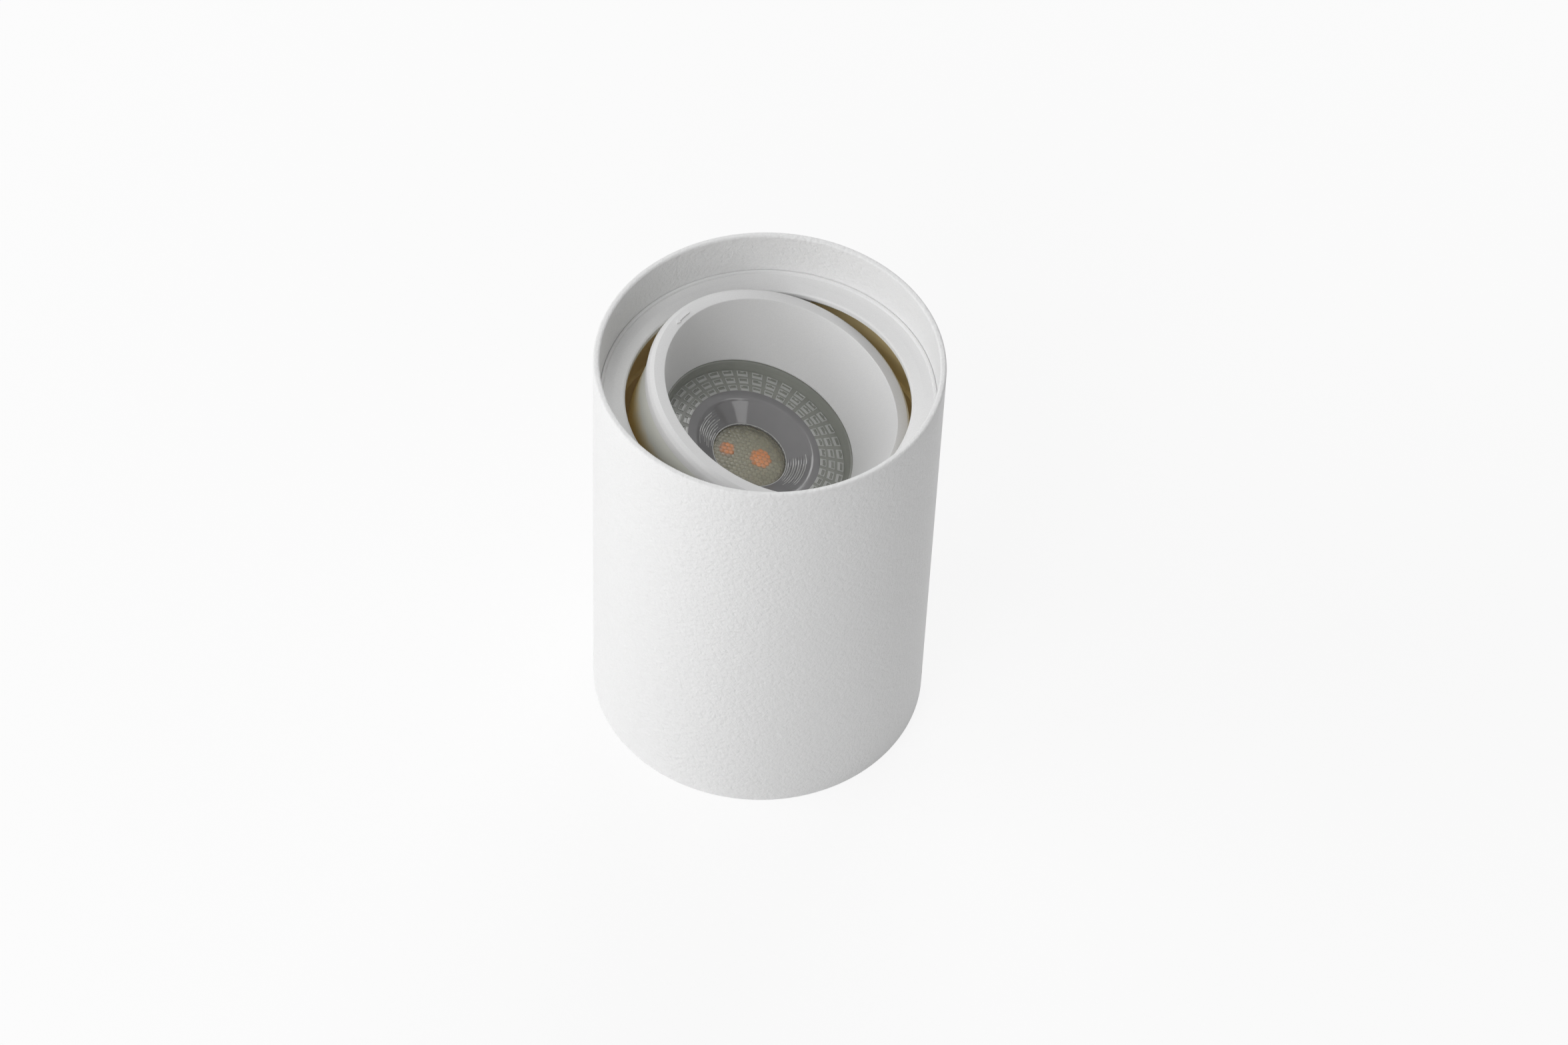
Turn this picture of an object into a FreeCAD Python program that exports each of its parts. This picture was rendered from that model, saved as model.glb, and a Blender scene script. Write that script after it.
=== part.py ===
import FreeCAD, Part
import math
import os
import re

import Sketcher
from FreeCAD import Placement, Rotation, Vector

# Surface mounted ceiling spotlight: a plain tube that stands on a ceiling plate, with a lamp head
# that turns and tilts behind the tube's mouth. Millimetres and degrees. The mounting end is at
# Z = 0 and the light leaves along +Z. The head tilts about an axis along Y through its pivot
# screws. Pieces of the head are drawn about the pivot, straight up, and then tilted as one.

SIZES = {
    # housing tube: one turned aluminium extrusion, bored out at its mouth to seat the carrier ring
    "tube_radius": 42.5,
    "tube_height": 120.0,
    "tube_wall": 2.7,
    "mouth_wall": 1.6,
    "rim_round": 0.6,
    "foot_chamfer": 0.4,
    "spring_groove_depth": 0.9,
    "spring_groove_height": 7.5,
    "spring_groove_drop": 26.0,
    # mounting plate and what is fixed to it
    "plate_gap": 2.4,
    "plate_thickness": 1.5,
    "tab_width": 14.0,
    "tab_height": 12.0,
    "tab_gap": 0.4,
    "tab_bend": 1.0,
    "slot_inset": 10.4,
    "slot_length": 14.0,
    "slot_width": 4.6,
    "cable_hole_radius": 7.0,
    "grommet_bore_radius": 4.5,
    "grommet_flange_radius": 9.5,
    "grommet_flange": 1.6,
    "side_screw_height": 6.5,
    "side_screw_radius": 2.0,
    "side_screw_sunk": 0.3,
    "dog_point_radius": 1.3,
    "hex_socket_across": 2.0,
    "hex_socket_depth": 1.6,
    # terminal block
    "block_near_side": 12.0,
    "block_width": 16.0,
    "block_length": 25.5,
    "block_height": 8.6,
    "pole_pitch": 8.5,
    "screw_tower_radius": 3.0,
    "screw_tower_height": 4.0,
    "screw_tower_spacing": 9.0,
    "wire_hole_radius": 1.9,
    "wire_hole_height": 4.3,
    "clamp_bore_radius": 1.4,
    "clamp_screw_radius": 1.25,
    "block_hole_radius": 1.6,
    # earth point
    "earth_point_back": 16.0,
    "earth_point_side": 13.0,
    "lug_radius": 3.6,
    "lug_thickness": 0.8,
    "lug_neck": 7.0,
    # carrier ring
    "carrier_drop": 12.6,
    "ring_gap": 0.3,
    "ring_width": 5.84,
    "carrier_flange": 2.2,
    "carrier_dish": 0.5,
    "opening_round": 0.6,
    "bead_width": 0.6,
    "bead_height": 0.4,
    "spigot_depth": 4.2,
    "spigot_wall": 1.5,
    "ear_width": 13.0,
    "ear_thickness": 1.8,
    "ear_back_gap": 0.8,
    # leaf springs that hold the carrier ring in the tube
    "spring_azimuth": 120.0,
    "spring_angle": 9.0,
    "spring_thickness": 0.4,
    "spring_flat": 1.2,
    "spring_lip_drop": 20.0,
    "rivet_radius": 1.0,
    "rivet_head_radius": 1.8,
    "rivet_head": 0.7,
    # tilting head
    "pivot_drop": 22.5,
    "head_tilt": 17.5,
    "face_height": 10.7,
    "trim_face_width": 3.95,
    "trim_round": 1.5,
    "trim_overhang": 1.1,
    "trim_taper": 0.35,
    "seam_drop": 4.9,
    "baffle_depth": 17.7,
    "throat_cover": 0.3,
    "baffle_wall": 1.25,
    "skirt_wall": 1.1,
    "skirt_depth": 8.8,
    # bayonet
    "bayonet_count": 3,
    "bayonet_turn": 20.0,
    "bayonet_height": 0.5,
    "bayonet_pin_radius": 1.2,
    "bayonet_slot_gap": 0.25,
    # lamp can
    "can_wall": 1.2,
    "can_straight": 9.0,
    "can_depth": 32.5,
    "can_draw": 5.6,
    "can_back_hole_radius": 20.5,
    "pivot_boss_radius": 4.5,
    "boss_rise": 2.0,
    # pivot screws and friction washers
    "washer_thickness": 0.9,
    "washer_radius": 4.4,
    "shoulder_radius": 2.0,
    "pivot_thread_radius": 1.5,
    "pivot_head_radius": 3.2,
    "pivot_head": 1.3,
    # lamp
    "lamp_front_drop": 0.6,
    "lamp_radius": 25.0,
    "lamp_rim_wall": 1.0,
    "lamp_rim_height": 5.4,
    "lamp_length": 46.4,
    "lamp_waist_radius": 18.2,
    "lamp_waist_depth": 24.0,
    "lamp_neck_radius": 13.0,
    "lamp_neck_depth": 34.5,
    "lamp_base_radius": 11.4,
    "lamp_base_length": 8.0,
    "lens_drop": 2.4,
    "lens_thickness": 1.8,
    "lens_border": 0.5,
    "lens_step_radius": 15.0,
    "lens_step": 0.3,
    "lens_cup_depth": 3.9,
    "lens_eye_radius": 9.25,
    "lens_eye_rise": 0.7,
    "prism_count": 36,
    "prism_row_radius": 17.9,
    "prism_row_pitch": 2.25,
    "prism_depth": 0.7,
    "prism_length": 1.65,
    "prism_share": 0.7,
    "board_radius": 21.0,
    "board_thickness": 1.2,
    "board_drop": 10.4,
    "chip_size": 3.4,
    "chip_height": 0.7,
    "chip_spacing": 8.6,
    "pin_circle_radius": 5.0,
    "pin_neck_radius": 1.55,
    "pin_foot_radius": 2.5,
    "pin_neck_length": 4.7,
    "pin_foot_length": 2.4,
    # lamp socket and its bracket
    "socket_length": 36.0,
    "socket_width": 17.0,
    "socket_depth": 17.0,
    "socket_round": 2.5,
    "socket_lip": 3.8,
    "socket_chamber": 4.8,
    "lock_angle": 20.0,
    "neck_slot_gap": 0.3,
    "foot_slot_gap": 0.5,
    "socket_screw_spacing": 25.0,
    "socket_screw_radius": 1.5,
    "socket_screw_head_radius": 2.75,
    "socket_screw_head": 1.8,
    "nut_across": 5.5,
    "nut_height": 2.2,
    "wire_spacing": 8.0,
    "bracket_thickness": 1.0,
    "bracket_width": 12.0,
    "bracket_foot": 6.4,
    "bracket_screw_radius": 1.25,
    "bracket_screw_head_radius": 2.2,
    "bracket_screw_head": 1.5,
    # leads
    "lead_radius": 1.0,
    "lead_hole_gap": 0.4,
    "lead_axis_offset": 1.3,
    "lead_run_share": 0.7945,
    "lead_inside_socket": 4.0,
    "lead_straight_run": 8.0,
    "lead_sweep_on": 3.6,
    "lead_sweep_in": 0.4,
    "lead_sweep_fall": 0.8,
    "lead_fan_out": 7.0,
    "earth_lead_run": 6.0,
    "earth_lead_near": 3.0,
    "earth_lead_aside": 2.5,
    # clearances
    "running_gap": 0.06,
    "seat_gap": 0.05,
    "free_gap": 0.3,
    "hole_gap": 0.1,
}

# Places that follow from the sizes above, each as a formula over them.
FORMULAS = {
    "bore_radius": "tube_radius - tube_wall",
    "mouth_bore": "tube_radius - mouth_wall",
    "plate_radius": "bore_radius - plate_gap",
    "slot_spacing": "2 * (plate_radius - slot_inset)",
    "carrier_radius": "mouth_bore - ring_gap",
    "opening_radius": "carrier_radius - ring_width",
    "carrier_top": "tube_height - carrier_drop",
    "carrier_under": "carrier_top - carrier_flange",
    "shoulder": "carrier_under - seat_gap",
    "groove_top": "tube_height - spring_groove_drop",
    "groove_foot": "groove_top - spring_groove_height",
    "groove_radius": "bore_radius + spring_groove_depth",
    "pivot_height": "tube_height - pivot_drop",
    "tab_face": "sqrt((bore_radius - tab_gap) ^ 2 - (tab_width / 2) ^ 2)",
    "spigot_radius": "bore_radius - hole_gap",
    "spigot_inside": "spigot_radius - spigot_wall",
    "spigot_foot": "carrier_under - spigot_depth",
    "rivet_height": "carrier_under - spigot_depth / 2",
    "leaf_back": "spigot_inside - seat_gap",
    "leaf_front": "leaf_back - spring_thickness",
    "leaf_reach": "groove_radius - free_gap",
    "leaf_belly": "groove_foot + spring_groove_height / 2",
    "ear_outside": "spigot_inside - ear_back_gap",
    "ear_inside": "ear_outside - ear_thickness",
    "pivot_boss_reach": "ear_inside - hole_gap - washer_thickness",
    "seam_radius": "pivot_boss_reach - boss_rise",
    "trim_radius": "seam_radius + trim_overhang",
    "trim_foot": "trim_radius - trim_taper",
    "mouth_radius": "trim_radius - trim_face_width",
    "baffle_throat_radius": "lamp_radius - throat_cover",
    "can_back_radius": "seam_radius - can_draw",
    "seam": "face_height - seam_drop",
    "throat": "face_height - baffle_depth",
    "can_inside": "seam_radius - can_wall",
    "skirt_radius": "can_inside - free_gap",
    "skirt_inside": "skirt_radius - skirt_wall",
    "skirt_foot": "seam - skirt_depth",
    "bayonet_slot_half": "bayonet_pin_radius + bayonet_slot_gap",
    "bayonet_half_angle": "asin(bayonet_slot_half / skirt_radius) / 1 deg",
    "baffle_slope": "(mouth_radius - baffle_throat_radius) / baffle_depth",
    "lamp_front": "throat - lamp_front_drop",
    "lamp_rim_inside": "lamp_radius - lamp_rim_wall",
    "lamp_back": "lamp_front - lamp_length",
    "lamp_neck_end": "lamp_back + lamp_base_length",
    "lens_front": "lamp_front - lens_drop",
    "lens_radius": "lamp_rim_inside - hole_gap",
    "lens_eye_front": "lens_front - lens_step - lens_cup_depth",
    "eye_ball_radius": "(lens_eye_radius ^ 2 + lens_eye_rise ^ 2) / (2 * lens_eye_rise)",
    "board_front": "lens_front - board_drop + board_thickness",
    "can_back": "-can_depth",
    "socket_front": "lamp_back - seat_gap",
    "socket_back": "socket_front - socket_depth",
    "bracket_back": "socket_back - bracket_thickness",
    "leg_inside": "socket_length / 2 + free_gap",
    "leg_outside": "leg_inside + bracket_thickness",
    "foot_end": "leg_inside + bracket_foot",
    "bracket_screw_place": "leg_outside + (bracket_foot - bracket_thickness) / 2",
    "neck_slot_half": "pin_neck_radius + neck_slot_gap",
    "foot_slot_half": "pin_foot_radius + foot_slot_gap",
    "chamber_top": "socket_front - socket_lip",
    "chamber_floor": "chamber_top - socket_chamber",
    "lug_neck_start": "socket_screw_head_radius + free_gap",
    "block_top": "plate_thickness + block_height",
    "block_middle": "block_near_side + block_width / 2",
    "wire_height": "plate_thickness + wire_hole_height",
    "prism_half_angle": "180 / prism_count * prism_share",
}

WORD = re.compile(r"[a-z][a-z_]*")
FUNCTIONS = {"sqrt", "sin", "cos", "asin", "deg"}

doc = FreeCAD.newDocument("ceiling_spotlight")
sheet = doc.addObject("Spreadsheet::Sheet", "sizes")
for row, (size_name, size) in enumerate(SIZES.items(), start=1):
    sheet.set(f"A{row}", size_name)
    sheet.set(f"B{row}", str(size))
    sheet.setAlias(f"B{row}", size_name)
doc.recompute()


def formula(text):
    """The text with each formula's name written out and each size's name as its cell."""

    def written_out(match):
        name = match.group(0)
        if name in FORMULAS:
            return "(" + formula(FORMULAS[name]) + ")"
        if name in SIZES:
            return "sizes." + name
        if name in FUNCTIONS:
            return name
        raise ValueError(f"no size is named {name}")

    return WORD.sub(written_out, text)


def value(text):
    """What a formula comes to, as a plain number."""
    found = sheet.evalExpression(formula(text))
    return float(getattr(found, "Value", found))


def bind(thing, place, text):
    """Tie one property of an object to the sizes."""
    thing.setExpression(place, formula(text))


def new_body(label):
    """A sub-part's body, named for its file."""
    body = doc.addObject("PartDesign::Body", label)
    body.Label = label
    return body


def origin_part(body, role):
    return next(part for part in body.Origin.OriginFeatures if part.Role == role)


def new_sketch(body, name, plane="XZ_Plane", shift="0", lift="0", turn="0"):
    """A sketch on an origin plane, moved along the plane's normal by shift and up its own vertical
    axis by lift, then turned about that axis. On XZ_Plane turn is an azimuth about +Z."""
    sketch = body.newObject("Sketcher::SketchObject", name)
    sketch.AttachmentSupport = [(origin_part(body, plane), "")]
    sketch.MapMode = "FlatFace"
    turned = Rotation(Vector(0, 1, 0), value(turn))
    sketch.AttachmentOffset = Placement(Vector(0, value(lift), value(shift)), turned)
    if shift != "0":
        bind(sketch, "AttachmentOffset.Base.z", shift)
    if lift != "0":
        bind(sketch, "AttachmentOffset.Base.y", lift)
    if turn != "0":
        bind(sketch, "AttachmentOffset.Rotation.Angle", turn)
    return sketch


def dimension(sketch, constraint, text):
    index = sketch.addConstraint(constraint)
    bind(sketch, f"Constraints[{index}]", text)


def pin_point(sketch, geometry, point, across, up):
    """Hold one point of the sketch at a place that the sizes give."""
    for kind, text, axis in (("DistanceX", across, -2), ("DistanceY", up, -1)):
        if text == "0":
            sketch.addConstraint(Sketcher.Constraint("PointOnObject", geometry, point, axis))
        else:
            held = Sketcher.Constraint(kind, -1, 1, geometry, point, value(text))
            dimension(sketch, held, text)


def arc_between(start, end, radius, centre_left):
    """The arc under half a turn from start to end, with its centre to the left or right."""
    chord = end - start
    half = chord.Length / 2
    side = Vector(-chord.y, chord.x, 0).normalize() * (1 if centre_left else -1)
    centre = (start + end) / 2 + side * math.sqrt(max(radius ** 2 - half ** 2, 0))
    first, last = (start, end) if centre_left else (end, start)
    angles = [math.atan2(p.y - centre.y, p.x - centre.x) for p in (first, last)]
    return Part.ArcOfCircle(Part.Circle(centre, Vector(0, 0, 1), radius), *angles)


def outline(sketch, corners):
    """A closed outline. A corner is (across, up), or (across, up, radius, side) where the side
    that leaves it is an arc with its centre on the left or the right."""
    points = [Vector(value(corner[0]), value(corner[1]), 0) for corner in corners]
    first = sketch.GeometryCount
    ends = []
    for index, corner in enumerate(corners):
        start, end = points[index], points[(index + 1) % len(corners)]
        if len(corner) == 2:
            sketch.addGeometry(Part.LineSegment(start, end), False)
            ends.append((1, 2))
        else:
            left = corner[3] == "left"
            sketch.addGeometry(arc_between(start, end, value(corner[2]), left), False)
            ends.append((1, 2) if left else (2, 1))
    for index in range(len(corners)):
        following = (index + 1) % len(corners)
        joined = (first + index, ends[index][1], first + following, ends[following][0])
        sketch.addConstraint(Sketcher.Constraint("Coincident", *joined))
    for index, corner in enumerate(corners):
        pin_point(sketch, first + index, ends[index][0], corner[0], corner[1])
        if len(corner) == 4:
            radius = Sketcher.Constraint("Radius", first + index, value(corner[2]))
            dimension(sketch, radius, corner[2])
    return sketch


def box_outline(sketch, left, low, right, high):
    return outline(sketch, [(left, low), (right, low), (right, high), (left, high)])


def circle(sketch, across, up, radius):
    centre = Vector(value(across), value(up), 0)
    index = sketch.addGeometry(Part.Circle(centre, Vector(0, 0, 1), value(radius)), False)
    pin_point(sketch, index, 3, across, up)
    dimension(sketch, Sketcher.Constraint("Radius", index, value(radius)), radius)
    return sketch


def hexagon(sketch, across_flats, up="0"):
    """A regular hexagon, its middle on the sketch's vertical axis at the height up."""
    reach = f"({across_flats}) / sqrt(3)"
    half = f"({across_flats}) / 2"
    high, low = f"{up} + {half}", f"{up} - {half}"
    corners = [
        (reach, up),
        (f"{reach} / 2", high),
        (f"-{reach} / 2", high),
        (f"-{reach}", up),
        (f"-{reach} / 2", low),
        (f"{reach} / 2", low),
    ]
    return outline(sketch, corners)


def upright_slot(sketch, across, up, length, width):
    """A round-ended slot that runs up the sketch, with its middle at (across, up)."""
    reach = f"(({length}) - ({width})) / 2"
    half = f"({width}) / 2"
    x, y, run, r = value(across), value(up), value(reach), value(half)
    first = sketch.GeometryCount
    top = Part.Circle(Vector(x, y + run, 0), Vector(0, 0, 1), r)
    foot = Part.Circle(Vector(x, y - run, 0), Vector(0, 0, 1), r)
    sketch.addGeometry(Part.ArcOfCircle(top, 0, math.pi), False)
    sketch.addGeometry(Part.LineSegment(Vector(x - r, y + run, 0), Vector(x - r, y - run, 0)), False)
    sketch.addGeometry(Part.ArcOfCircle(foot, math.pi, 2 * math.pi), False)
    sketch.addGeometry(Part.LineSegment(Vector(x + r, y - run, 0), Vector(x + r, y + run, 0)), False)
    for index in range(4):
        touching = (first + index, 2, first + (index + 1) % 4, 1)
        sketch.addConstraint(Sketcher.Constraint("Tangent", *touching))
    pin_point(sketch, first, 3, across, f"({up}) + {reach}")
    pin_point(sketch, first + 2, 3, across, f"({up}) - {reach}")
    dimension(sketch, Sketcher.Constraint("Radius", first, r), half)
    return sketch


def solid_volume(body):
    return body.Tip.Shape.Volume if body.Tip else 0.0


def feature(body, kind, name, **properties):
    """Add a feature, set it up, recompute, and see that it changed the body the way it should."""
    before = solid_volume(body)
    made = body.newObject(f"PartDesign::{kind}", name)
    for key, setting in properties.items():
        if isinstance(setting, str) and key in ("Length", "Angle", "Radius", "Size"):
            bind(made, key, setting)
        else:
            setattr(made, key, setting)
    body.Tip = made
    doc.recompute()
    after = solid_volume(body)
    if kind in ("Pad", "Revolution", "AdditivePipe") and after <= before:
        raise ValueError(f"{body.Label}: {name} adds nothing")
    if kind in ("Pocket", "Groove") and after >= before:
        raise ValueError(f"{body.Label}: {name} cuts nothing")
    return made


def pad(body, name, sketch, length, **more):
    return feature(body, "Pad", name, Profile=sketch, Length=length, **more)


def pocket(body, name, sketch, length, **more):
    return feature(body, "Pocket", name, Profile=sketch, Length=length, **more)


def through(body, name, sketch):
    """Cut right through the body, both ways from the sketch."""
    settings = {"Profile": sketch, "SideType": "Symmetric", "Type": "ThroughAll"}
    return feature(body, "Pocket", name, **settings)


def turned(body, name, sketch, axis="V_Axis", kind="Revolution", **more):
    return feature(body, kind, name, Profile=sketch, ReferenceAxis=(sketch, [axis]), **more)


def sector(body, name, sketch, angle, kind="Revolution"):
    """Turn an outline about Z through an angle that its own plane halves."""
    return turned(body, name, sketch, kind=kind, Angle=angle, Midplane=True)


def polar(body, name, originals, count):
    """Repeat features round the Z axis, evenly over a full turn."""
    axis = (origin_part(body, "Z_Axis"), [""])
    made = feature(body, "PolarPattern", name, Originals=originals, Axis=axis, Angle=360.0)
    if count in SIZES:
        bind(made, "Occurrences", count)
    else:
        made.Occurrences = int(count)
    doc.recompute()
    return made


def fillet(body, name, radius, choose):
    """Round the edges of the body's last feature that choose picks."""
    edges = body.Tip.Shape.Edges
    names = [f"Edge{number}" for number, edge in enumerate(edges, start=1) if choose(edge)]
    if not names:
        raise ValueError(f"{body.Label}: {name} finds no edge")
    return feature(body, "Fillet", name, Base=(body.Tip, names), Radius=radius)


def set_in_head(thing):
    """Place a sub-part that was drawn about the pivot: lift it there and tilt it."""
    tilt = Rotation(Vector(0, 1, 0), value("head_tilt"))
    thing.Placement = Placement(Vector(0, 0, value("pivot_height")), tilt)
    bind(thing, "Placement.Base.z", "pivot_height")
    bind(thing, "Placement.Rotation.Angle", "head_tilt")


# ---------------------------------------------------------------- housing


def housing_tube():
    body = new_body("housing_tube")
    profile = new_sketch(body, "tube_profile")
    outline(profile, [
        ("bore_radius", "0"),
        ("tube_radius - foot_chamfer", "0"),
        ("tube_radius", "foot_chamfer"),
        ("tube_radius", "tube_height - rim_round", "rim_round", "left"),
        ("tube_radius - rim_round", "tube_height"),
        ("mouth_bore + rim_round", "tube_height", "rim_round", "left"),
        ("mouth_bore", "tube_height - rim_round"),
        ("mouth_bore", "shoulder"),
        ("bore_radius", "shoulder"),
        ("bore_radius", "groove_top"),
        ("groove_radius", "groove_top - spring_groove_depth"),
        ("groove_radius", "groove_foot"),
        ("bore_radius", "groove_foot"),
    ])
    turned(body, "tube", profile)
    holes = circle(new_sketch(body, "side_hole", "YZ_Plane"), "0", "side_screw_height",
                   "side_screw_radius + running_gap")
    through(body, "side_holes", holes)
    return body


def mounting_plate():
    body = new_body("mounting_plate")
    disc = circle(new_sketch(body, "disc", "XY_Plane"), "0", "0", "plate_radius")
    pad(body, "plate", disc, "plate_thickness")
    tab = new_sketch(body, "tab_profile")
    outline(tab, [
        ("plate_radius - tab_width / 2", "0"),
        ("tab_face - tab_bend - plate_thickness", "0", "tab_bend + plate_thickness", "left"),
        ("tab_face", "tab_bend + plate_thickness"),
        ("tab_face", "tab_height"),
        ("tab_face - plate_thickness", "tab_height"),
        ("tab_face - plate_thickness", "tab_bend + plate_thickness", "tab_bend", "right"),
        ("tab_face - tab_bend - plate_thickness", "plate_thickness"),
        ("plate_radius - tab_width / 2", "plate_thickness"),
    ])
    bent = pad(body, "tab", tab, "tab_width", SideType="Symmetric")
    polar(body, "tabs", [bent], "2")
    tip_holes = circle(new_sketch(body, "tip_hole", "YZ_Plane"), "0", "side_screw_height",
                       "dog_point_radius + hole_gap")
    through(body, "tip_holes", tip_holes)
    slots = new_sketch(body, "ceiling_slot", "XY_Plane")
    upright_slot(slots, "0", "slot_spacing / 2", "slot_length", "slot_width")
    one_slot = through(body, "slot", slots)
    polar(body, "slots", [one_slot], "2")
    cable = circle(new_sketch(body, "cable_hole", "XY_Plane"), "0", "0", "cable_hole_radius")
    through(body, "cable_way", cable)
    earth = circle(new_sketch(body, "earth_hole", "XY_Plane"), "-earth_point_back",
                   "earth_point_side", "socket_screw_radius + running_gap")
    through(body, "earth_tapping", earth)
    block = circle(new_sketch(body, "block_hole", "XY_Plane"), "block_middle", "-pole_pitch / 2",
                   "socket_screw_radius + running_gap")
    through(body, "block_tapping", block)
    return body


def cable_grommet():
    body = new_body("cable_grommet")
    profile = new_sketch(body, "grommet_profile")
    outline(profile, [
        ("grommet_bore_radius", "0"),
        ("cable_hole_radius - seat_gap", "0"),
        ("cable_hole_radius - seat_gap", "plate_thickness"),
        ("grommet_flange_radius", "plate_thickness"),
        ("grommet_flange_radius", "plate_thickness + grommet_flange / 2"),
        ("grommet_flange_radius - grommet_flange / 2", "plate_thickness + grommet_flange"),
        ("grommet_bore_radius", "plate_thickness + grommet_flange"),
    ])
    turned(body, "grommet", profile)
    return body


def side_screws():
    """Hexagon socket set screws through the tube, their points in the plate's tabs."""
    body = new_body("side_screws")
    profile = new_sketch(body, "screw_profile", lift="side_screw_height")
    outline(profile, [
        ("tab_face - plate_thickness", "0"),
        ("tube_radius - side_screw_sunk", "0"),
        ("tube_radius - side_screw_sunk", "side_screw_radius"),
        ("bore_radius - free_gap / 2", "side_screw_radius"),
        ("tab_face + running_gap", "dog_point_radius"),
        ("tab_face - plate_thickness", "dog_point_radius"),
    ])
    screw = turned(body, "screw", profile, axis="H_Axis")
    drive = new_sketch(body, "drive", "YZ_Plane", shift="tube_radius - side_screw_sunk",
                       lift="side_screw_height")
    hexagon(drive, "hex_socket_across")
    hole = pocket(body, "hex_socket", drive, "hex_socket_depth")
    polar(body, "both_screws", [screw, hole], "2")
    return body


def terminal_block():
    """Three-pole screw terminal: a bar with a pair of screw towers over each pole."""
    body = new_body("terminal_block")
    bar = new_sketch(body, "bar", "XY_Plane", shift="plate_thickness")
    box_outline(bar, "block_near_side", "-block_length / 2",
                "block_near_side + block_width", "block_length / 2")
    pad(body, "block", bar, "block_height")
    towers = new_sketch(body, "tower", "XY_Plane", shift="block_top")
    bores = new_sketch(body, "tower_bore", "XY_Plane", shift="block_top + screw_tower_height")
    for row in ("-pole_pitch", "0", "pole_pitch"):
        for side in ("- screw_tower_spacing / 2", "+ screw_tower_spacing / 2"):
            circle(towers, f"block_middle {side}", row, "screw_tower_radius")
            circle(bores, f"block_middle {side}", row, "screw_tower_radius - wire_hole_radius / 2")
    pad(body, "towers", towers, "screw_tower_height")
    pocket(body, "tower_bores", bores,
           "screw_tower_height + block_height - wire_hole_height - clamp_bore_radius")
    wires = new_sketch(body, "wire_holes", "YZ_Plane", shift="block_near_side")
    for row in ("-pole_pitch", "0", "pole_pitch"):
        circle(wires, row, "wire_height", "wire_hole_radius")
    pocket(body, "wire_ways", wires, "block_width", Reversed=True)
    fixing = circle(new_sketch(body, "fixing", "XY_Plane"), "block_middle", "-pole_pitch / 2",
                    "block_hole_radius")
    through(body, "fixing_hole", fixing)
    return body


def terminal_clamps():
    """Brass tubes in the block, one for each pole, with a tapped hole under each tower."""
    body = new_body("terminal_clamps")
    tubes = new_sketch(body, "clamp_ends", "YZ_Plane", shift="block_near_side + screw_tower_radius / 2")
    bores = new_sketch(body, "clamp_bores", "YZ_Plane", shift="block_near_side")
    for row in ("-pole_pitch", "0", "pole_pitch"):
        circle(tubes, row, "wire_height", "wire_hole_radius - seat_gap")
        circle(bores, row, "wire_height", "clamp_bore_radius")
    pad(body, "clamps", tubes, "block_width - screw_tower_radius")
    pocket(body, "clamp_ways", bores, "block_width", Reversed=True)
    taps = new_sketch(body, "taps", "XY_Plane", shift="wire_height + wire_hole_radius")
    for row in ("-pole_pitch", "0", "pole_pitch"):
        for side in ("- screw_tower_spacing / 2", "+ screw_tower_spacing / 2"):
            circle(taps, f"block_middle {side}", row, "clamp_screw_radius + running_gap")
    pocket(body, "tapped_holes", taps, "wire_hole_radius")
    return body


def terminal_screws():
    body = new_body("terminal_screws")
    shanks = new_sketch(body, "shanks", "XY_Plane", shift="wire_height + clamp_bore_radius / 2")
    slots = new_sketch(body, "screw_slots", "XY_Plane", shift="block_top + screw_tower_height / 2")
    for row in ("-pole_pitch", "0", "pole_pitch"):
        for side in ("- screw_tower_spacing / 2", "+ screw_tower_spacing / 2"):
            circle(shanks, f"block_middle {side}", row, "clamp_screw_radius")
            box_outline(slots, f"block_middle {side} - screw_tower_radius", f"{row} - free_gap",
                        f"block_middle {side} + screw_tower_radius", f"{row} + free_gap")
    reach = "block_top + screw_tower_height / 2 - wire_height - clamp_bore_radius / 2"
    pad(body, "screws", shanks, reach)
    pocket(body, "slots", slots, "clamp_screw_radius / 2")
    return body


def pan_screw(label, shank_radius, head_radius, head, foot, seat):
    """A pan head screw along Z: its shank from foot up to seat, and its head above, slotted."""
    body = new_body(label)
    profile = new_sketch(body, "screw_profile")
    outline(profile, [
        ("0", foot),
        (shank_radius, foot),
        (shank_radius, seat),
        (head_radius, seat),
        (head_radius, f"{seat} + {head} / 2"),
        (f"{head_radius} - {head} / 2", f"{seat} + {head}"),
        ("0", f"{seat} + {head}"),
    ])
    turned(body, "screw", profile)
    drive = new_sketch(body, "drive", "XY_Plane", shift=f"{seat} + {head}")
    box_outline(drive, f"-({head_radius})", f"-({shank_radius}) / 4",
                head_radius, f"({shank_radius}) / 4")
    pocket(body, "slot", drive, f"({head}) / 2")
    return body


def move_to(body, across, along):
    bind(body, "Placement.Base.x", across)
    bind(body, "Placement.Base.y", along)
    return body


def block_screw():
    body = pan_screw("block_screw", "socket_screw_radius", "clamp_screw_radius * 2",
                     "socket_screw_head", "0", "block_top")
    return move_to(body, "block_middle", "-pole_pitch / 2")


def earth_screw():
    body = pan_screw("earth_screw", "socket_screw_radius", "socket_screw_head_radius",
                     "socket_screw_head", "0", "plate_thickness + lug_thickness")
    return move_to(body, "-earth_point_back", "earth_point_side")


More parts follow.
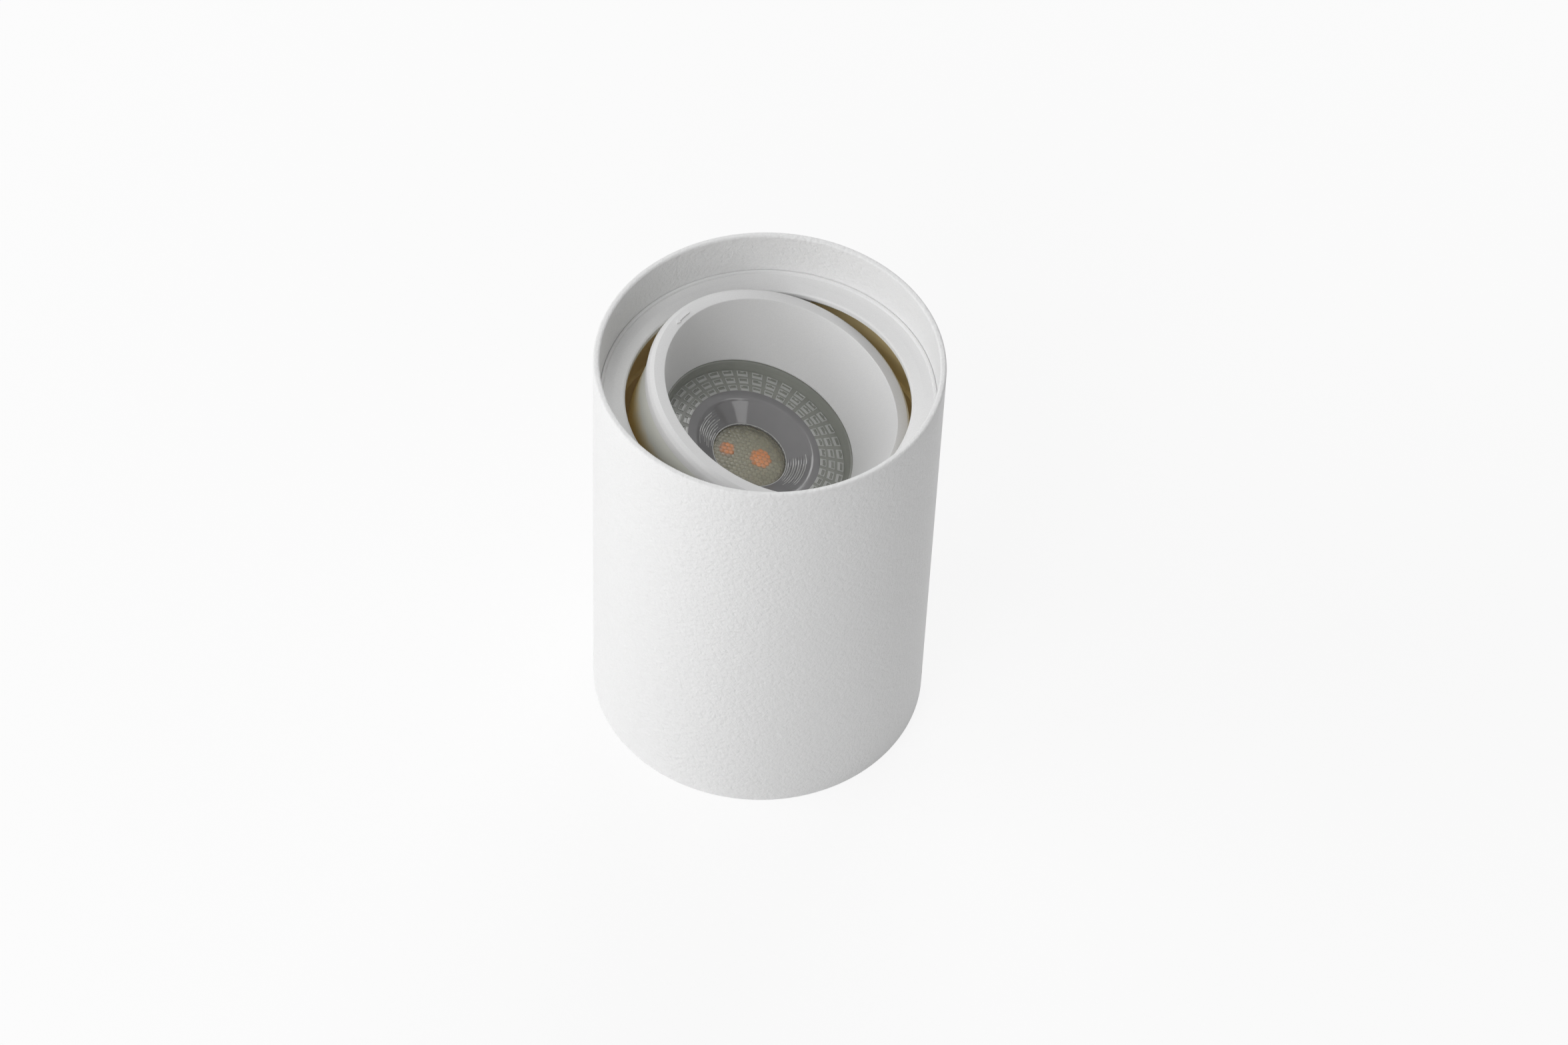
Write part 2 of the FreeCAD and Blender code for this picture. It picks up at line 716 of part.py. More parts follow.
def earth_lug():
    """Ring terminal on the plate, with a round neck that holds the end of the earth lead."""
    body = new_body("earth_lug")
    ring = circle(new_sketch(body, "ring", "XY_Plane"), "0", "0", "lug_radius")
    pad(body, "eye", ring, "lug_thickness")
    neck = new_sketch(body, "neck_end", "YZ_Plane", shift="lug_neck_start")
    circle(neck, "0", "lead_radius + lug_thickness", "lead_radius + lug_thickness")
    pad(body, "neck", neck, "lug_neck")
    hollow = new_sketch(body, "neck_hollow", "YZ_Plane", shift="lug_neck_start + lug_neck")
    circle(hollow, "0", "lead_radius + lug_thickness", "lead_radius + seat_gap")
    pocket(body, "neck_bore", hollow, "lug_neck / 2")
    hole = circle(new_sketch(body, "hole", "XY_Plane"), "0", "0", "socket_screw_radius + hole_gap")
    through(body, "screw_hole", hole)
    bind(body, "Placement.Base.z", "plate_thickness")
    return move_to(body, "-earth_point_back", "earth_point_side")


# ---------------------------------------------------------------- carrier


def carrier_ring():
    """The fixed ring round the head, with a bead at its edge, a spigot and two pivot ears."""
    body = new_body("carrier_ring")
    profile = new_sketch(body, "ring_profile")
    outline(profile, [
        ("opening_radius", "carrier_under"),
        ("spigot_inside", "carrier_under"),
        ("spigot_inside", "spigot_foot"),
        ("spigot_radius", "spigot_foot"),
        ("spigot_radius", "carrier_under"),
        ("carrier_radius", "carrier_under"),
        ("carrier_radius", "carrier_top + bead_height - bead_width / 2", "bead_width / 2", "left"),
        ("carrier_radius - bead_width / 2", "carrier_top + bead_height", "bead_width / 2", "left"),
        ("carrier_radius - bead_width", "carrier_top + bead_height - bead_width / 2"),
        ("carrier_radius - bead_width", "carrier_top"),
        ("opening_radius + opening_round", "carrier_top - carrier_dish", "opening_round", "left"),
        ("opening_radius", "carrier_top - carrier_dish - opening_round"),
    ])
    turned(body, "ring", profile)
    ear = new_sketch(body, "ear_face", "XZ_Plane", shift="-ear_outside")
    outline(ear, [
        ("-ear_width / 2", "pivot_height"),
        ("0", "pivot_height - ear_width / 2"),
        ("ear_width / 2", "pivot_height"),
        ("ear_width / 2", "carrier_under + carrier_dish"),
        ("-ear_width / 2", "carrier_under + carrier_dish"),
    ])
    lug = pad(body, "ear", ear, "ear_thickness")
    boss = circle(new_sketch(body, "ear_end", "XZ_Plane", shift="-ear_outside"), "0",
                  "pivot_height", "ear_width / 2")
    round_end = pad(body, "ear_round", boss, "ear_thickness")
    polar(body, "ears", [lug, round_end], "2")
    pivot = circle(new_sketch(body, "pivot_hole", "XZ_Plane"), "0", "pivot_height",
                   "shoulder_radius + running_gap")
    through(body, "pivot_holes", pivot)
    riveting = new_sketch(body, "rivet_hole", lift="rivet_height", turn="spring_azimuth")
    box_outline(riveting, "spigot_inside - spigot_wall", "0",
                "spigot_radius + spigot_wall", "rivet_radius + seat_gap")
    rivet_hole = turned(body, "riveting", riveting, axis="H_Axis", kind="Groove")
    polar(body, "rivet_holes", [rivet_hole], "2")
    return body


def retaining_springs():
    """Two leaf springs inside the carrier's spigot that snap out into the tube's groove."""
    body = new_body("retaining_springs")
    leaf = new_sketch(body, "leaf", turn="spring_azimuth")
    outline(leaf, [
        ("leaf_front", "carrier_under - free_gap"),
        ("leaf_front", "spigot_foot - free_gap"),
        ("leaf_reach - spring_thickness", "leaf_belly"),
        ("leaf_reach - spring_thickness", "leaf_belly - spring_flat"),
        ("leaf_front", "carrier_under - spring_lip_drop"),
        ("leaf_back", "carrier_under - spring_lip_drop"),
        ("leaf_reach", "leaf_belly - spring_flat"),
        ("leaf_reach", "leaf_belly"),
        ("leaf_back", "spigot_foot - free_gap"),
        ("leaf_back", "carrier_under - free_gap"),
    ])
    strip = sector(body, "spring", leaf, "spring_angle")
    hole = new_sketch(body, "spring_hole", lift="rivet_height", turn="spring_azimuth")
    box_outline(hole, "leaf_front - spring_thickness", "0",
                "leaf_back + spring_thickness", "rivet_radius + seat_gap")
    cut = turned(body, "hole", hole, axis="H_Axis", kind="Groove")
    polar(body, "springs", [strip, cut], "2")
    return body


def spring_rivets():
    body = new_body("spring_rivets")
    sketch = new_sketch(body, "rivet_profile", lift="rivet_height", turn="spring_azimuth")
    outline(sketch, [
        ("leaf_front - hole_gap - rivet_head", "0"),
        ("spigot_radius - hole_gap", "0"),
        ("spigot_radius - hole_gap", "rivet_radius"),
        ("leaf_front - hole_gap", "rivet_radius"),
        ("leaf_front - hole_gap", "rivet_head_radius"),
        ("leaf_front - hole_gap - rivet_head / 2", "rivet_head_radius"),
        ("leaf_front - hole_gap - rivet_head", "rivet_radius"),
    ])
    rivet = turned(body, "rivet", sketch, axis="H_Axis")
    polar(body, "rivets", [rivet], "2")
    return body


# ---------------------------------------------------------------- head


def lamp_can():
    """Thin cup that carries the lamp: straight at its mouth, drawn in behind, open at the back."""
    body = new_body("lamp_can")
    profile = new_sketch(body, "can_profile")
    outline(profile, [
        ("can_back_hole_radius", "can_back"),
        ("can_back_radius - can_wall", "can_back"),
        ("can_back_radius", "can_back + can_wall"),
        ("seam_radius", "-can_straight"),
        ("seam_radius", "seam - seat_gap"),
        ("can_inside", "seam - seat_gap"),
        ("can_inside", "-can_straight"),
        ("can_back_radius - can_wall", "can_back + can_wall"),
        ("can_back_hole_radius", "can_back + can_wall"),
    ])
    turned(body, "can", profile)
    boss = new_sketch(body, "boss_outline", "XZ_Plane", shift="pivot_boss_reach")
    circle(boss, "0", "0", "pivot_boss_radius")
    raised = pad(body, "pivot_boss", boss, "pivot_boss_reach - can_inside - can_wall / 2", Reversed=True)
    polar(body, "pivot_bosses", [raised], "2")
    pivot = circle(new_sketch(body, "pivot_hole", "XZ_Plane"), "0", "0",
                   "pivot_thread_radius + running_gap")
    through(body, "pivot_tappings", pivot)
    pins = new_sketch(body, "pin_hole", lift="bayonet_height")
    box_outline(pins, "can_inside - can_wall", "0",
                "seam_radius + can_wall", "bayonet_pin_radius + running_gap")
    pinned = turned(body, "pin_way", pins, axis="H_Axis", kind="Groove")
    polar(body, "pin_ways", [pinned], "bayonet_count")
    feet = new_sketch(body, "foot_hole", "XY_Plane", shift="can_back + can_wall * 2")
    circle(feet, "0", "bracket_screw_place", "bracket_screw_radius + running_gap")
    foot_hole = pocket(body, "foot_way", feet, "can_wall * 3")
    polar(body, "foot_ways", [foot_hole], "2")
    set_in_head(body)
    return body


def bayonet_pins():
    """Pins through the can's wall that the trim's slots run on, flush outside."""
    body = new_body("bayonet_pins")
    profile = new_sketch(body, "pin_profile", lift="bayonet_height")
    box_outline(profile, "skirt_inside", "0", "seam_radius - seat_gap", "bayonet_pin_radius")
    pin = turned(body, "pin", profile, axis="H_Axis")
    polar(body, "pins", [pin], "bayonet_count")
    set_in_head(body)
    return body


def pivot_screws():
    """Shoulder screws: the shoulder runs in the carrier's ear, the thread is in the can's boss."""
    body = new_body("pivot_screws")
    profile = new_sketch(body, "screw_profile", turn="90")
    outline(profile, [
        ("can_inside + seat_gap", "0"),
        ("ear_outside + hole_gap + pivot_head", "0"),
        ("ear_outside + hole_gap + pivot_head", "pivot_head_radius - pivot_head / 2"),
        ("ear_outside + hole_gap + pivot_head / 2", "pivot_head_radius"),
        ("ear_outside + hole_gap", "pivot_head_radius"),
        ("ear_outside + hole_gap", "shoulder_radius"),
        ("pivot_boss_reach + seat_gap", "shoulder_radius"),
        ("pivot_boss_reach + seat_gap", "pivot_thread_radius"),
        ("can_inside + seat_gap", "pivot_thread_radius"),
    ])
    screw = turned(body, "screw", profile, axis="H_Axis")
    drive = new_sketch(body, "drive", "XZ_Plane", shift="-(ear_outside + hole_gap + pivot_head)")
    hexagon(drive, "hex_socket_across")
    hole = pocket(body, "hex_socket", drive, "pivot_head", Reversed=True)
    polar(body, "both_screws", [screw, hole], "2")
    set_in_head(body)
    return body


def friction_washers():
    body = new_body("friction_washers")
    profile = new_sketch(body, "washer_profile", turn="90")
    box_outline(profile, "pivot_boss_reach", "shoulder_radius + running_gap",
                "pivot_boss_reach + washer_thickness", "washer_radius")
    washer = turned(body, "washer", profile, axis="H_Axis")
    polar(body, "washers", [washer], "2")
    set_in_head(body)
    return body


def trim_ring():
    """Front ring and deep conical baffle in one, with a skirt that has the bayonet slots."""
    body = new_body("trim_ring")
    profile = new_sketch(body, "trim_profile")
    lip = "throat - seat_gap * 8"
    outline(profile, [
        ("baffle_throat_radius", "throat"),
        ("baffle_throat_radius", lip),
        ("baffle_throat_radius + baffle_wall", lip),
        ("skirt_inside - running_gap * 8", "seam + skirt_wall / 2"),
        ("skirt_inside", "seam + skirt_wall / 2"),
        ("skirt_inside", "skirt_foot"),
        ("skirt_radius", "skirt_foot"),
        ("skirt_radius", "seam + seat_gap"),
        ("trim_foot", "seam + seat_gap"),
        ("trim_radius", "face_height - trim_round", "trim_round", "left"),
        ("trim_radius - trim_round", "face_height"),
        ("mouth_radius + rim_round / 2", "face_height", "rim_round / 2", "left"),
        ("mouth_radius - rim_round / 2 * baffle_slope", "face_height - rim_round / 2"),
    ])
    turned(body, "trim", profile)
    run = new_sketch(body, "slot_run", turn="-bayonet_turn / 2")
    box_outline(run, "skirt_inside - free_gap", "bayonet_height - bayonet_slot_half",
                "skirt_radius + skirt_wall", "bayonet_height + bayonet_slot_half")
    level = sector(body, "level_slot", run, "bayonet_turn + 2 * bayonet_half_angle", kind="Groove")
    way_in = new_sketch(body, "slot_entry", turn="-bayonet_turn")
    box_outline(way_in, "skirt_inside - free_gap", "skirt_foot - skirt_wall",
                "skirt_radius + skirt_wall", "bayonet_height + bayonet_slot_half")
    entry = sector(body, "entry_slot", way_in, "2 * bayonet_half_angle", kind="Groove")
    polar(body, "bayonet_slots", [level, entry], "bayonet_count")
    set_in_head(body)
    return body


def lamp_body():
    """Reflector lamp's housing: a straight rim round the lens, drawn in to a neck behind."""
    body = new_body("lamp_body")
    profile = new_sketch(body, "lamp_profile")
    outline(profile, [
        ("0", "lamp_neck_end"),
        ("lamp_neck_radius", "lamp_neck_end"),
        ("lamp_neck_radius", "lamp_front - lamp_neck_depth"),
        ("lamp_waist_radius", "lamp_front - lamp_waist_depth"),
        ("lamp_radius", "lamp_front - lamp_rim_height"),
        ("lamp_radius", "lamp_front"),
        ("lamp_rim_inside", "lamp_front"),
        ("lamp_rim_inside", "lens_front - lens_thickness - hole_gap"),
        ("board_radius + hole_gap", "lens_front - lens_thickness - hole_gap"),
        ("board_radius + hole_gap", "board_front - board_thickness"),
        ("0", "board_front - board_thickness"),
    ])
    turned(body, "lamp", profile)
    set_in_head(body)
    return body


def lamp_base():
    body = new_body("lamp_base")
    profile = new_sketch(body, "base_profile")
    outline(profile, [
        ("0", "lamp_back"),
        ("lamp_base_radius - socket_round / 2", "lamp_back"),
        ("lamp_base_radius", "lamp_back + socket_round / 2"),
        ("lamp_base_radius", "lamp_neck_end"),
        ("0", "lamp_neck_end"),
    ])
    turned(body, "base", profile)
    set_in_head(body)
    return body


def lamp_pins():
    """Two pins with wider feet that lock behind the socket's lip."""
    body = new_body("lamp_pins")
    neck = new_sketch(body, "pin_neck", "XY_Plane", shift="lamp_back")
    circle(neck, "0", "pin_circle_radius", "pin_neck_radius")
    shank = pad(body, "neck", neck, "pin_neck_length", Reversed=True)
    foot = new_sketch(body, "pin_foot", "XY_Plane", shift="lamp_back - pin_neck_length")
    circle(foot, "0", "pin_circle_radius", "pin_foot_radius")
    end = pad(body, "foot", foot, "pin_foot_length", Reversed=True)
    polar(body, "pins", [shank, end], "2")
    set_in_head(body)
    return body


def lamp_lens():
    """Clear lens: a border, a flat with rows of prism pockets, a dished ring and a domed eye."""
    body = new_body("lamp_lens")
    profile = new_sketch(body, "lens_profile")
    outline(profile, [
        ("0", "lens_eye_front - lens_thickness"),
        ("lens_eye_radius", "lens_eye_front - lens_thickness"),
        ("lens_step_radius", "lens_front - lens_step - lens_thickness"),
        ("lens_radius", "lens_front - lens_thickness"),
        ("lens_radius", "lamp_front - lens_border / 2"),
        ("lens_radius - lens_border", "lamp_front - lens_border / 2"),
        ("lens_radius - lens_border", "lens_front"),
        ("lens_step_radius", "lens_front"),
        ("lens_step_radius", "lens_front - lens_step"),
        ("lens_eye_radius + lens_step", "lens_eye_front + lens_step"),
        ("lens_eye_radius", "lens_eye_front", "eye_ball_radius", "left"),
        ("0", "lens_eye_front + lens_eye_rise"),
    ])
    turned(body, "lens", profile)
    pockets = []
    for number in range(3):
        middle = f"prism_row_radius + prism_row_pitch * {number}"
        row = new_sketch(body, f"prism_row_{number + 1}")
        outline(row, [
            (f"{middle} - prism_length / 2", "lens_front + lens_step"),
            (f"{middle} - prism_length / 2", "lens_front"),
            (f"{middle} + prism_length / 2", "lens_front - prism_depth"),
            (f"{middle} + prism_length / 2", "lens_front + lens_step"),
        ])
        pockets.append(sector(body, f"prism_{number + 1}", row, "2 * prism_half_angle", kind="Groove"))
    polar(body, "prisms", pockets, "prism_count")
    set_in_head(body)
    return body




def led_board():
    body = new_body("led_board")
    disc = new_sketch(body, "board_disc", "XY_Plane", shift="board_front")
    circle(disc, "0", "0", "board_radius")
    pad(body, "board", disc, "board_thickness", Reversed=True)
    set_in_head(body)
    return body


def led_chips():
    body = new_body("led_chips")
    square = new_sketch(body, "chip", "XY_Plane", shift="board_front")
    box_outline(square, "chip_spacing / 2 - chip_size / 2", "-chip_size / 2",
                "chip_spacing / 2 + chip_size / 2", "chip_size / 2")
    chip = pad(body, "chip_body", square, "chip_height")
    polar(body, "chips", [chip], "2")
    set_in_head(body)
    return body


def lamp_socket():
    """Ceramic socket: two keyhole slots over chambers that the pins' feet turn in."""
    body = new_body("lamp_socket")
    face = new_sketch(body, "face", "XY_Plane", shift="socket_front")
    box_outline(face, "-socket_width / 2", "-socket_length / 2",
                "socket_width / 2", "socket_length / 2")
    pad(body, "block", face, "socket_depth", Reversed=True)
    fillet(body, "rounded_corners", "socket_round",
           lambda edge: isinstance(edge.Curve, Part.Line) and edge.BoundBox.ZLength > 1)
    keyways = []
    steps = (("neck", "neck_slot_half", "socket_front", "chamber_top", "foot_slot_half"),
             ("foot", "foot_slot_half", "chamber_top", "chamber_floor", "foot_slot_half"))
    for name, half, top, floor, entry in steps:
        arc = new_sketch(body, f"{name}_arc", turn="90 - lock_angle / 2")
        box_outline(arc, f"pin_circle_radius - {half}", floor, f"pin_circle_radius + {half}", top)
        keyways.append(sector(body, f"{name}_slot", arc, "lock_angle", kind="Groove"))
        for end, turn, radius in (("lock", "90", half), ("entry", "90 - lock_angle", entry)):
            hole = new_sketch(body, f"{name}_{end}", "XY_Plane", shift=top)
            circle(hole, f"pin_circle_radius * cos({turn})", f"pin_circle_radius * sin({turn})",
                   radius)
            keyways.append(pocket(body, f"{name}_{end}_hole", hole, f"{top} - ({floor})"))
    polar(body, "keyways", keyways, "2")
    screws = new_sketch(body, "screw_hole", "XY_Plane", shift="socket_front")
    circle(screws, "0", "socket_screw_spacing / 2", "socket_screw_radius + hole_gap")
    shank = pocket(body, "screw_way", screws, "socket_depth")
    sinks = new_sketch(body, "screw_sink", "XY_Plane", shift="socket_front")
    circle(sinks, "0", "socket_screw_spacing / 2", "socket_screw_head_radius + free_gap")
    sink = pocket(body, "screw_seat", sinks, "socket_screw_head + free_gap")
    wires = new_sketch(body, "wire_hole", "XY_Plane", shift="socket_back")
    circle(wires, "0", "wire_spacing / 2", "lead_radius + lead_hole_gap")
    wire = pocket(body, "wire_way", wires, "chamber_floor - socket_back", Reversed=True)
    polar(body, "holes", [shank, sink, wire], "2")
    set_in_head(body)
    return body


def socket_contacts():
    """Sprung bronze plates on the chambers' floors, each with a tongue beside the pin's foot."""
    body = new_body("socket_contacts")
    plate = new_sketch(body, "plate", "XY_Plane", shift="chamber_floor")
    box_outline(plate, "-pin_neck_radius", "pin_circle_radius - pin_neck_radius",
                "pin_neck_radius", "pin_circle_radius + pin_neck_radius")
    floor = pad(body, "floor_plate", plate, "spring_thickness")
    tongue = new_sketch(body, "tongue", "XY_Plane", shift="chamber_floor + spring_thickness")
    box_outline(tongue, "-pin_neck_radius / 2", "pin_circle_radius - pin_neck_radius / 2",
                "pin_neck_radius / 2", "pin_circle_radius + pin_neck_radius / 2")
    rest = "chamber_top - chamber_floor - spring_thickness"
    raised = pad(body, "tongue_pad", tongue,
                 f"{rest} - (pin_neck_length + pin_foot_length - socket_lip) - seat_gap * 2")
    polar(body, "contacts", [floor, raised], "2")
    set_in_head(body)
    return body


def socket_screws():
    """Screws from the front of the socket, through the bracket, into the nuts behind it."""
    body = new_body("socket_screws")
    head = new_sketch(body, "screw_head", "XY_Plane", shift="socket_front - free_gap")
    circle(head, "0", "socket_screw_spacing / 2", "socket_screw_head_radius")
    cap = pad(body, "head", head, "socket_screw_head", Reversed=True)
    shank = new_sketch(body, "shank", "XY_Plane", shift="socket_front - free_gap")
    circle(shank, "0", "socket_screw_spacing / 2", "socket_screw_radius")
    stem = pad(body, "stem", shank, "socket_depth - free_gap + bracket_thickness + nut_height",
               Reversed=True)
    polar(body, "both_screws", [cap, stem], "2")
    set_in_head(body)
    return body


def socket_nuts():
    body = new_body("socket_nuts")
    shape = new_sketch(body, "nut_outline", "XY_Plane", shift="bracket_back")
    hexagon(shape, "nut_across", "socket_screw_spacing / 2")
    nut = pad(body, "nut", shape, "nut_height", Reversed=True)
    bore = circle(new_sketch(body, "nut_bore", "XY_Plane"), "0", "socket_screw_spacing / 2",
                  "socket_screw_radius + running_gap")
    thread = through(body, "thread", bore)
    polar(body, "both_nuts", [nut, thread], "2")
    set_in_head(body)
    return body


def socket_bracket():
    """Bent strip that hangs the socket from the back of the can."""
    body = new_body("socket_bracket")
    strip = new_sketch(body, "strip", "YZ_Plane")
    outline(strip, [
        ("-foot_end", "can_back"),
        ("-foot_end", "can_back - bracket_thickness"),
        ("-leg_outside", "can_back - bracket_thickness"),
        ("-leg_outside", "bracket_back"),
        ("leg_outside", "bracket_back"),
        ("leg_outside", "can_back - bracket_thickness"),
        ("foot_end", "can_back - bracket_thickness"),
        ("foot_end", "can_back"),
        ("leg_inside", "can_back"),
        ("leg_inside", "socket_back"),
        ("-leg_inside", "socket_back"),
        ("-leg_inside", "can_back"),
    ])
    pad(body, "bent_strip", strip, "bracket_width", SideType="Symmetric")
    fillet(body, "bends", "bracket_thickness / 2",
           lambda edge: isinstance(edge.Curve, Part.Line) and edge.BoundBox.XLength > 1
           and abs(abs(edge.CenterOfMass.y) - value("leg_outside")) < 0.01)
    holes = []
    for name, place, radius in (
        ("foot", "bracket_screw_place", "bracket_screw_radius + hole_gap"),
        ("socket", "socket_screw_spacing / 2", "socket_screw_radius + hole_gap"),
        ("lead", "wire_spacing / 2", "lead_radius + lead_hole_gap"),
    ):
        sketch = circle(new_sketch(body, f"{name}_hole", "XY_Plane"), "0", place, radius)
        holes.append(through(body, f"{name}_way", sketch))
    polar(body, "holes", holes, "2")
    set_in_head(body)
    return body


def bracket_screws():
    body = new_body("bracket_screws")
    head = new_sketch(body, "screw_head", "XY_Plane", shift="can_back - bracket_thickness")
    circle(head, "0", "bracket_screw_place", "bracket_screw_head_radius")
    cap = pad(body, "head", head, "bracket_screw_head", Reversed=True)
    shank = new_sketch(body, "shank", "XY_Plane", shift="can_back - bracket_thickness")
    circle(shank, "0", "bracket_screw_place", "bracket_screw_radius")
    stem = pad(body, "stem", shank, "bracket_thickness + can_wall * 2")
    polar(body, "both_screws", [cap, stem], "2")
    set_in_head(body)
    return body


# ---------------------------------------------------------------- leads


def head_point(across, along, up):
    """Where a point drawn about the pivot lies once the head is tilted."""
    tilt = math.radians(value("head_tilt"))
    return Vector(across * math.cos(tilt) + up * math.sin(tilt), along,
                  value("pivot_height") - across * math.sin(tilt) + up * math.cos(tilt))


def lead(label, points):
    """A round lead along straight runs joined by arcs, each as large as its two runs allow."""
    radius = value("lead_radius")
    edges = []
    start = points[0]
    for before, corner, after in zip(points, points[1:], points[2:]):
        back = (before - corner).normalize()
        on = (after - corner).normalize()
        half_turn = (math.pi - back.getAngle(on)) / 2
        trim = 0.45 * min((before - corner).Length, (after - corner).Length)
        arc_start, arc_end = corner + back * trim, corner + on * trim
        bend = trim / math.tan(half_turn)
        middle = (back + on).normalize()
        arc_middle = corner + middle * (bend / math.cos(half_turn) - bend)
        edges.append(Part.LineSegment(start, arc_start).toShape())
        edges.append(Part.Arc(arc_start, arc_middle, arc_end).toShape())
        print(f"{label}: bend of {bend:.1f} mm")
        start = arc_end
    edges.append(Part.LineSegment(start, points[-1]).toShape())
    path = Part.Wire(edges)
    section = Part.Wire(Part.makeCircle(radius, points[0], points[1] - points[0]))
    tube = path.makePipeShell([section], True, False)
    expected = math.pi * radius ** 2 * path.Length
    if abs(tube.Volume / expected - 1) > 0.02:
        raise ValueError(f"{label}: the tube holds {tube.Volume:.1f}, not {expected:.1f}")
    made = doc.addObject("Part::Feature", label)
    made.Label = label
    made.Shape = tube
    return made


def lamp_lead(label, side, pole):
    """From the socket's back, under the head, down the swivel axis and into the block."""
    offset = side * value("wire_spacing") / 2
    near = side * value("lead_axis_offset")
    below = head_point(0, offset, value("bracket_back - lead_straight_run"))
    low = value("wire_height")
    high = low + (below.z - low) * value("lead_run_share")
    block = value("block_near_side") - value("seat_gap")
    points = [
        head_point(0, offset, value("socket_back + lead_inside_socket")),
        below,
        Vector(below.x + value("lead_sweep_on"), offset - side * value("lead_sweep_in"),
               high - value("lead_sweep_fall")),
        Vector(0, near, high),
        Vector(0, near, low),
    ]
    row = pole * value("pole_pitch")
    if pole:
        points.append(Vector(value("lead_fan_out"), row, low))
    points.append(Vector(block, row, low))
    return lead(label, points)


def earth_lead():
    low = value("wire_height")
    barrel = value("plate_thickness") + value("lead_radius") + value("lug_thickness")
    bored = -value("earth_point_back") + value("lug_neck_start + lug_neck / 2 + seat_gap")
    side = value("earth_point_side")
    points = [
        Vector(bored, side, barrel),
        Vector(bored + value("earth_lead_run"), side, barrel),
        Vector(value("earth_lead_near"), value("pole_pitch + earth_lead_aside"), low),
        Vector(value("block_near_side") - value("seat_gap"), value("pole_pitch"), low),
    ]
    return lead("earth_lead", points)


nodes = [
    housing_tube(),
    mounting_plate(),
    cable_grommet(),
    side_screws(),
    terminal_block(),
    terminal_clamps(),
    terminal_screws(),
    block_screw(),
    earth_screw(),
    earth_lug(),
    earth_lead(),
    carrier_ring(),
    retaining_springs(),
    spring_rivets(),
    lamp_can(),
    bayonet_pins(),
    pivot_screws(),
    friction_washers(),
    trim_ring(),
    lamp_body(),
    lamp_base(),
    lamp_pins(),
    lamp_lens(),
    led_board(),
    led_chips(),
    lamp_socket(),
    socket_contacts(),
    socket_screws(),
    socket_nuts(),
    socket_bracket(),
    bracket_screws(),
    lamp_lead("live_lead", 1, 0),
    lamp_lead("neutral_lead", -1, -1),
]

doc.recompute()
for thing in doc.Objects:
    if "Invalid" in thing.State or "Error" in thing.State:
        raise RuntimeError(f"{thing.Label} is {thing.State}")
for node in nodes:
    if node.Shape.isNull() or not node.Shape.isValid():
        raise RuntimeError(f"{node.Label} has no valid shape")

os.makedirs("parts", exist_ok=True)
for node in nodes:
    node.Shape.exportStep(f"parts/{node.Label}.step")
    print(f"{node.Label}: {len(node.Shape.Solids)} solids, {node.Shape.Volume:.0f} mm3")
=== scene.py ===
"""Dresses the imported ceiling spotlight: smooth turned shells, the lamp's optics, finishes and a studio."""
import math

import bmesh
import bpy
import numpy as np
from bpy.props import FloatProperty, FloatVectorProperty, IntProperty, PointerProperty
from mathutils import Matrix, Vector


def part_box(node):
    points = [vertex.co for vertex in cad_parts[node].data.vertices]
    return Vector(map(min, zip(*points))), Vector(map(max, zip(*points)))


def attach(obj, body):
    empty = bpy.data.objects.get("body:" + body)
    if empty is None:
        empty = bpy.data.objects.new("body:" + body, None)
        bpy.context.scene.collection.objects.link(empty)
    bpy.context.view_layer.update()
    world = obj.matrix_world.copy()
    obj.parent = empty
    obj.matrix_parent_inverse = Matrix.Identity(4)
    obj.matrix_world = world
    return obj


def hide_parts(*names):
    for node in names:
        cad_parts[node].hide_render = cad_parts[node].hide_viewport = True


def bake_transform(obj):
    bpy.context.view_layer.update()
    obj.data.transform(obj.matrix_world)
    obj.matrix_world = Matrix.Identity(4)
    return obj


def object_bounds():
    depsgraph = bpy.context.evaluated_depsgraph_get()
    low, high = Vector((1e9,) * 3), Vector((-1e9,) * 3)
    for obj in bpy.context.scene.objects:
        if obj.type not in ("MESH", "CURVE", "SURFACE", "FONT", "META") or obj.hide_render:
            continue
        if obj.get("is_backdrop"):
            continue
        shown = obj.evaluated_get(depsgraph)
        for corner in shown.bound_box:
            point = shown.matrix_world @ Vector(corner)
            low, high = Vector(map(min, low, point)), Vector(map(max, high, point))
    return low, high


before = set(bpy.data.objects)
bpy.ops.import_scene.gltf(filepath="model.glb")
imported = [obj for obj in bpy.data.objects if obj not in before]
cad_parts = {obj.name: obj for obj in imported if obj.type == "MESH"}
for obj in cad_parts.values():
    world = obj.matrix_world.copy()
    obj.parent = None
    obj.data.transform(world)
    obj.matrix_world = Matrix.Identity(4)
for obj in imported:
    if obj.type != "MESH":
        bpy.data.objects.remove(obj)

bl_info = {
    "name": "Ceiling spotlight dressing",
    "version": (1, 0, 0),
    "blender": (4, 5, 0),
    "location": "View3D > Sidebar > Spotlight",
    "description": "Builds the finished look of a surface mounted ceiling spotlight",
    "category": "Object",
}

MM = 0.001
TILT = math.radians(17.5)
PIVOT_HEIGHT = 97.5
# Sizes of the part in millimetres. The tube's two come from the frame and the others repeat the part's own.
TUBE_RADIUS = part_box("housing_tube")[1].x / MM
TUBE_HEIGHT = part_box("housing_tube")[1].z / MM
BORE_RADIUS = 39.8
MOUTH_BORE = 40.9
SHOULDER = 105.15
GROOVE_RADIUS = 40.7
GROOVE = (86.5, 94.0)
SIDE_SCREW_HEIGHT = 6.5
SIDE_HOLE_RADIUS = 2.1
WIRE_HEIGHT = 5.8
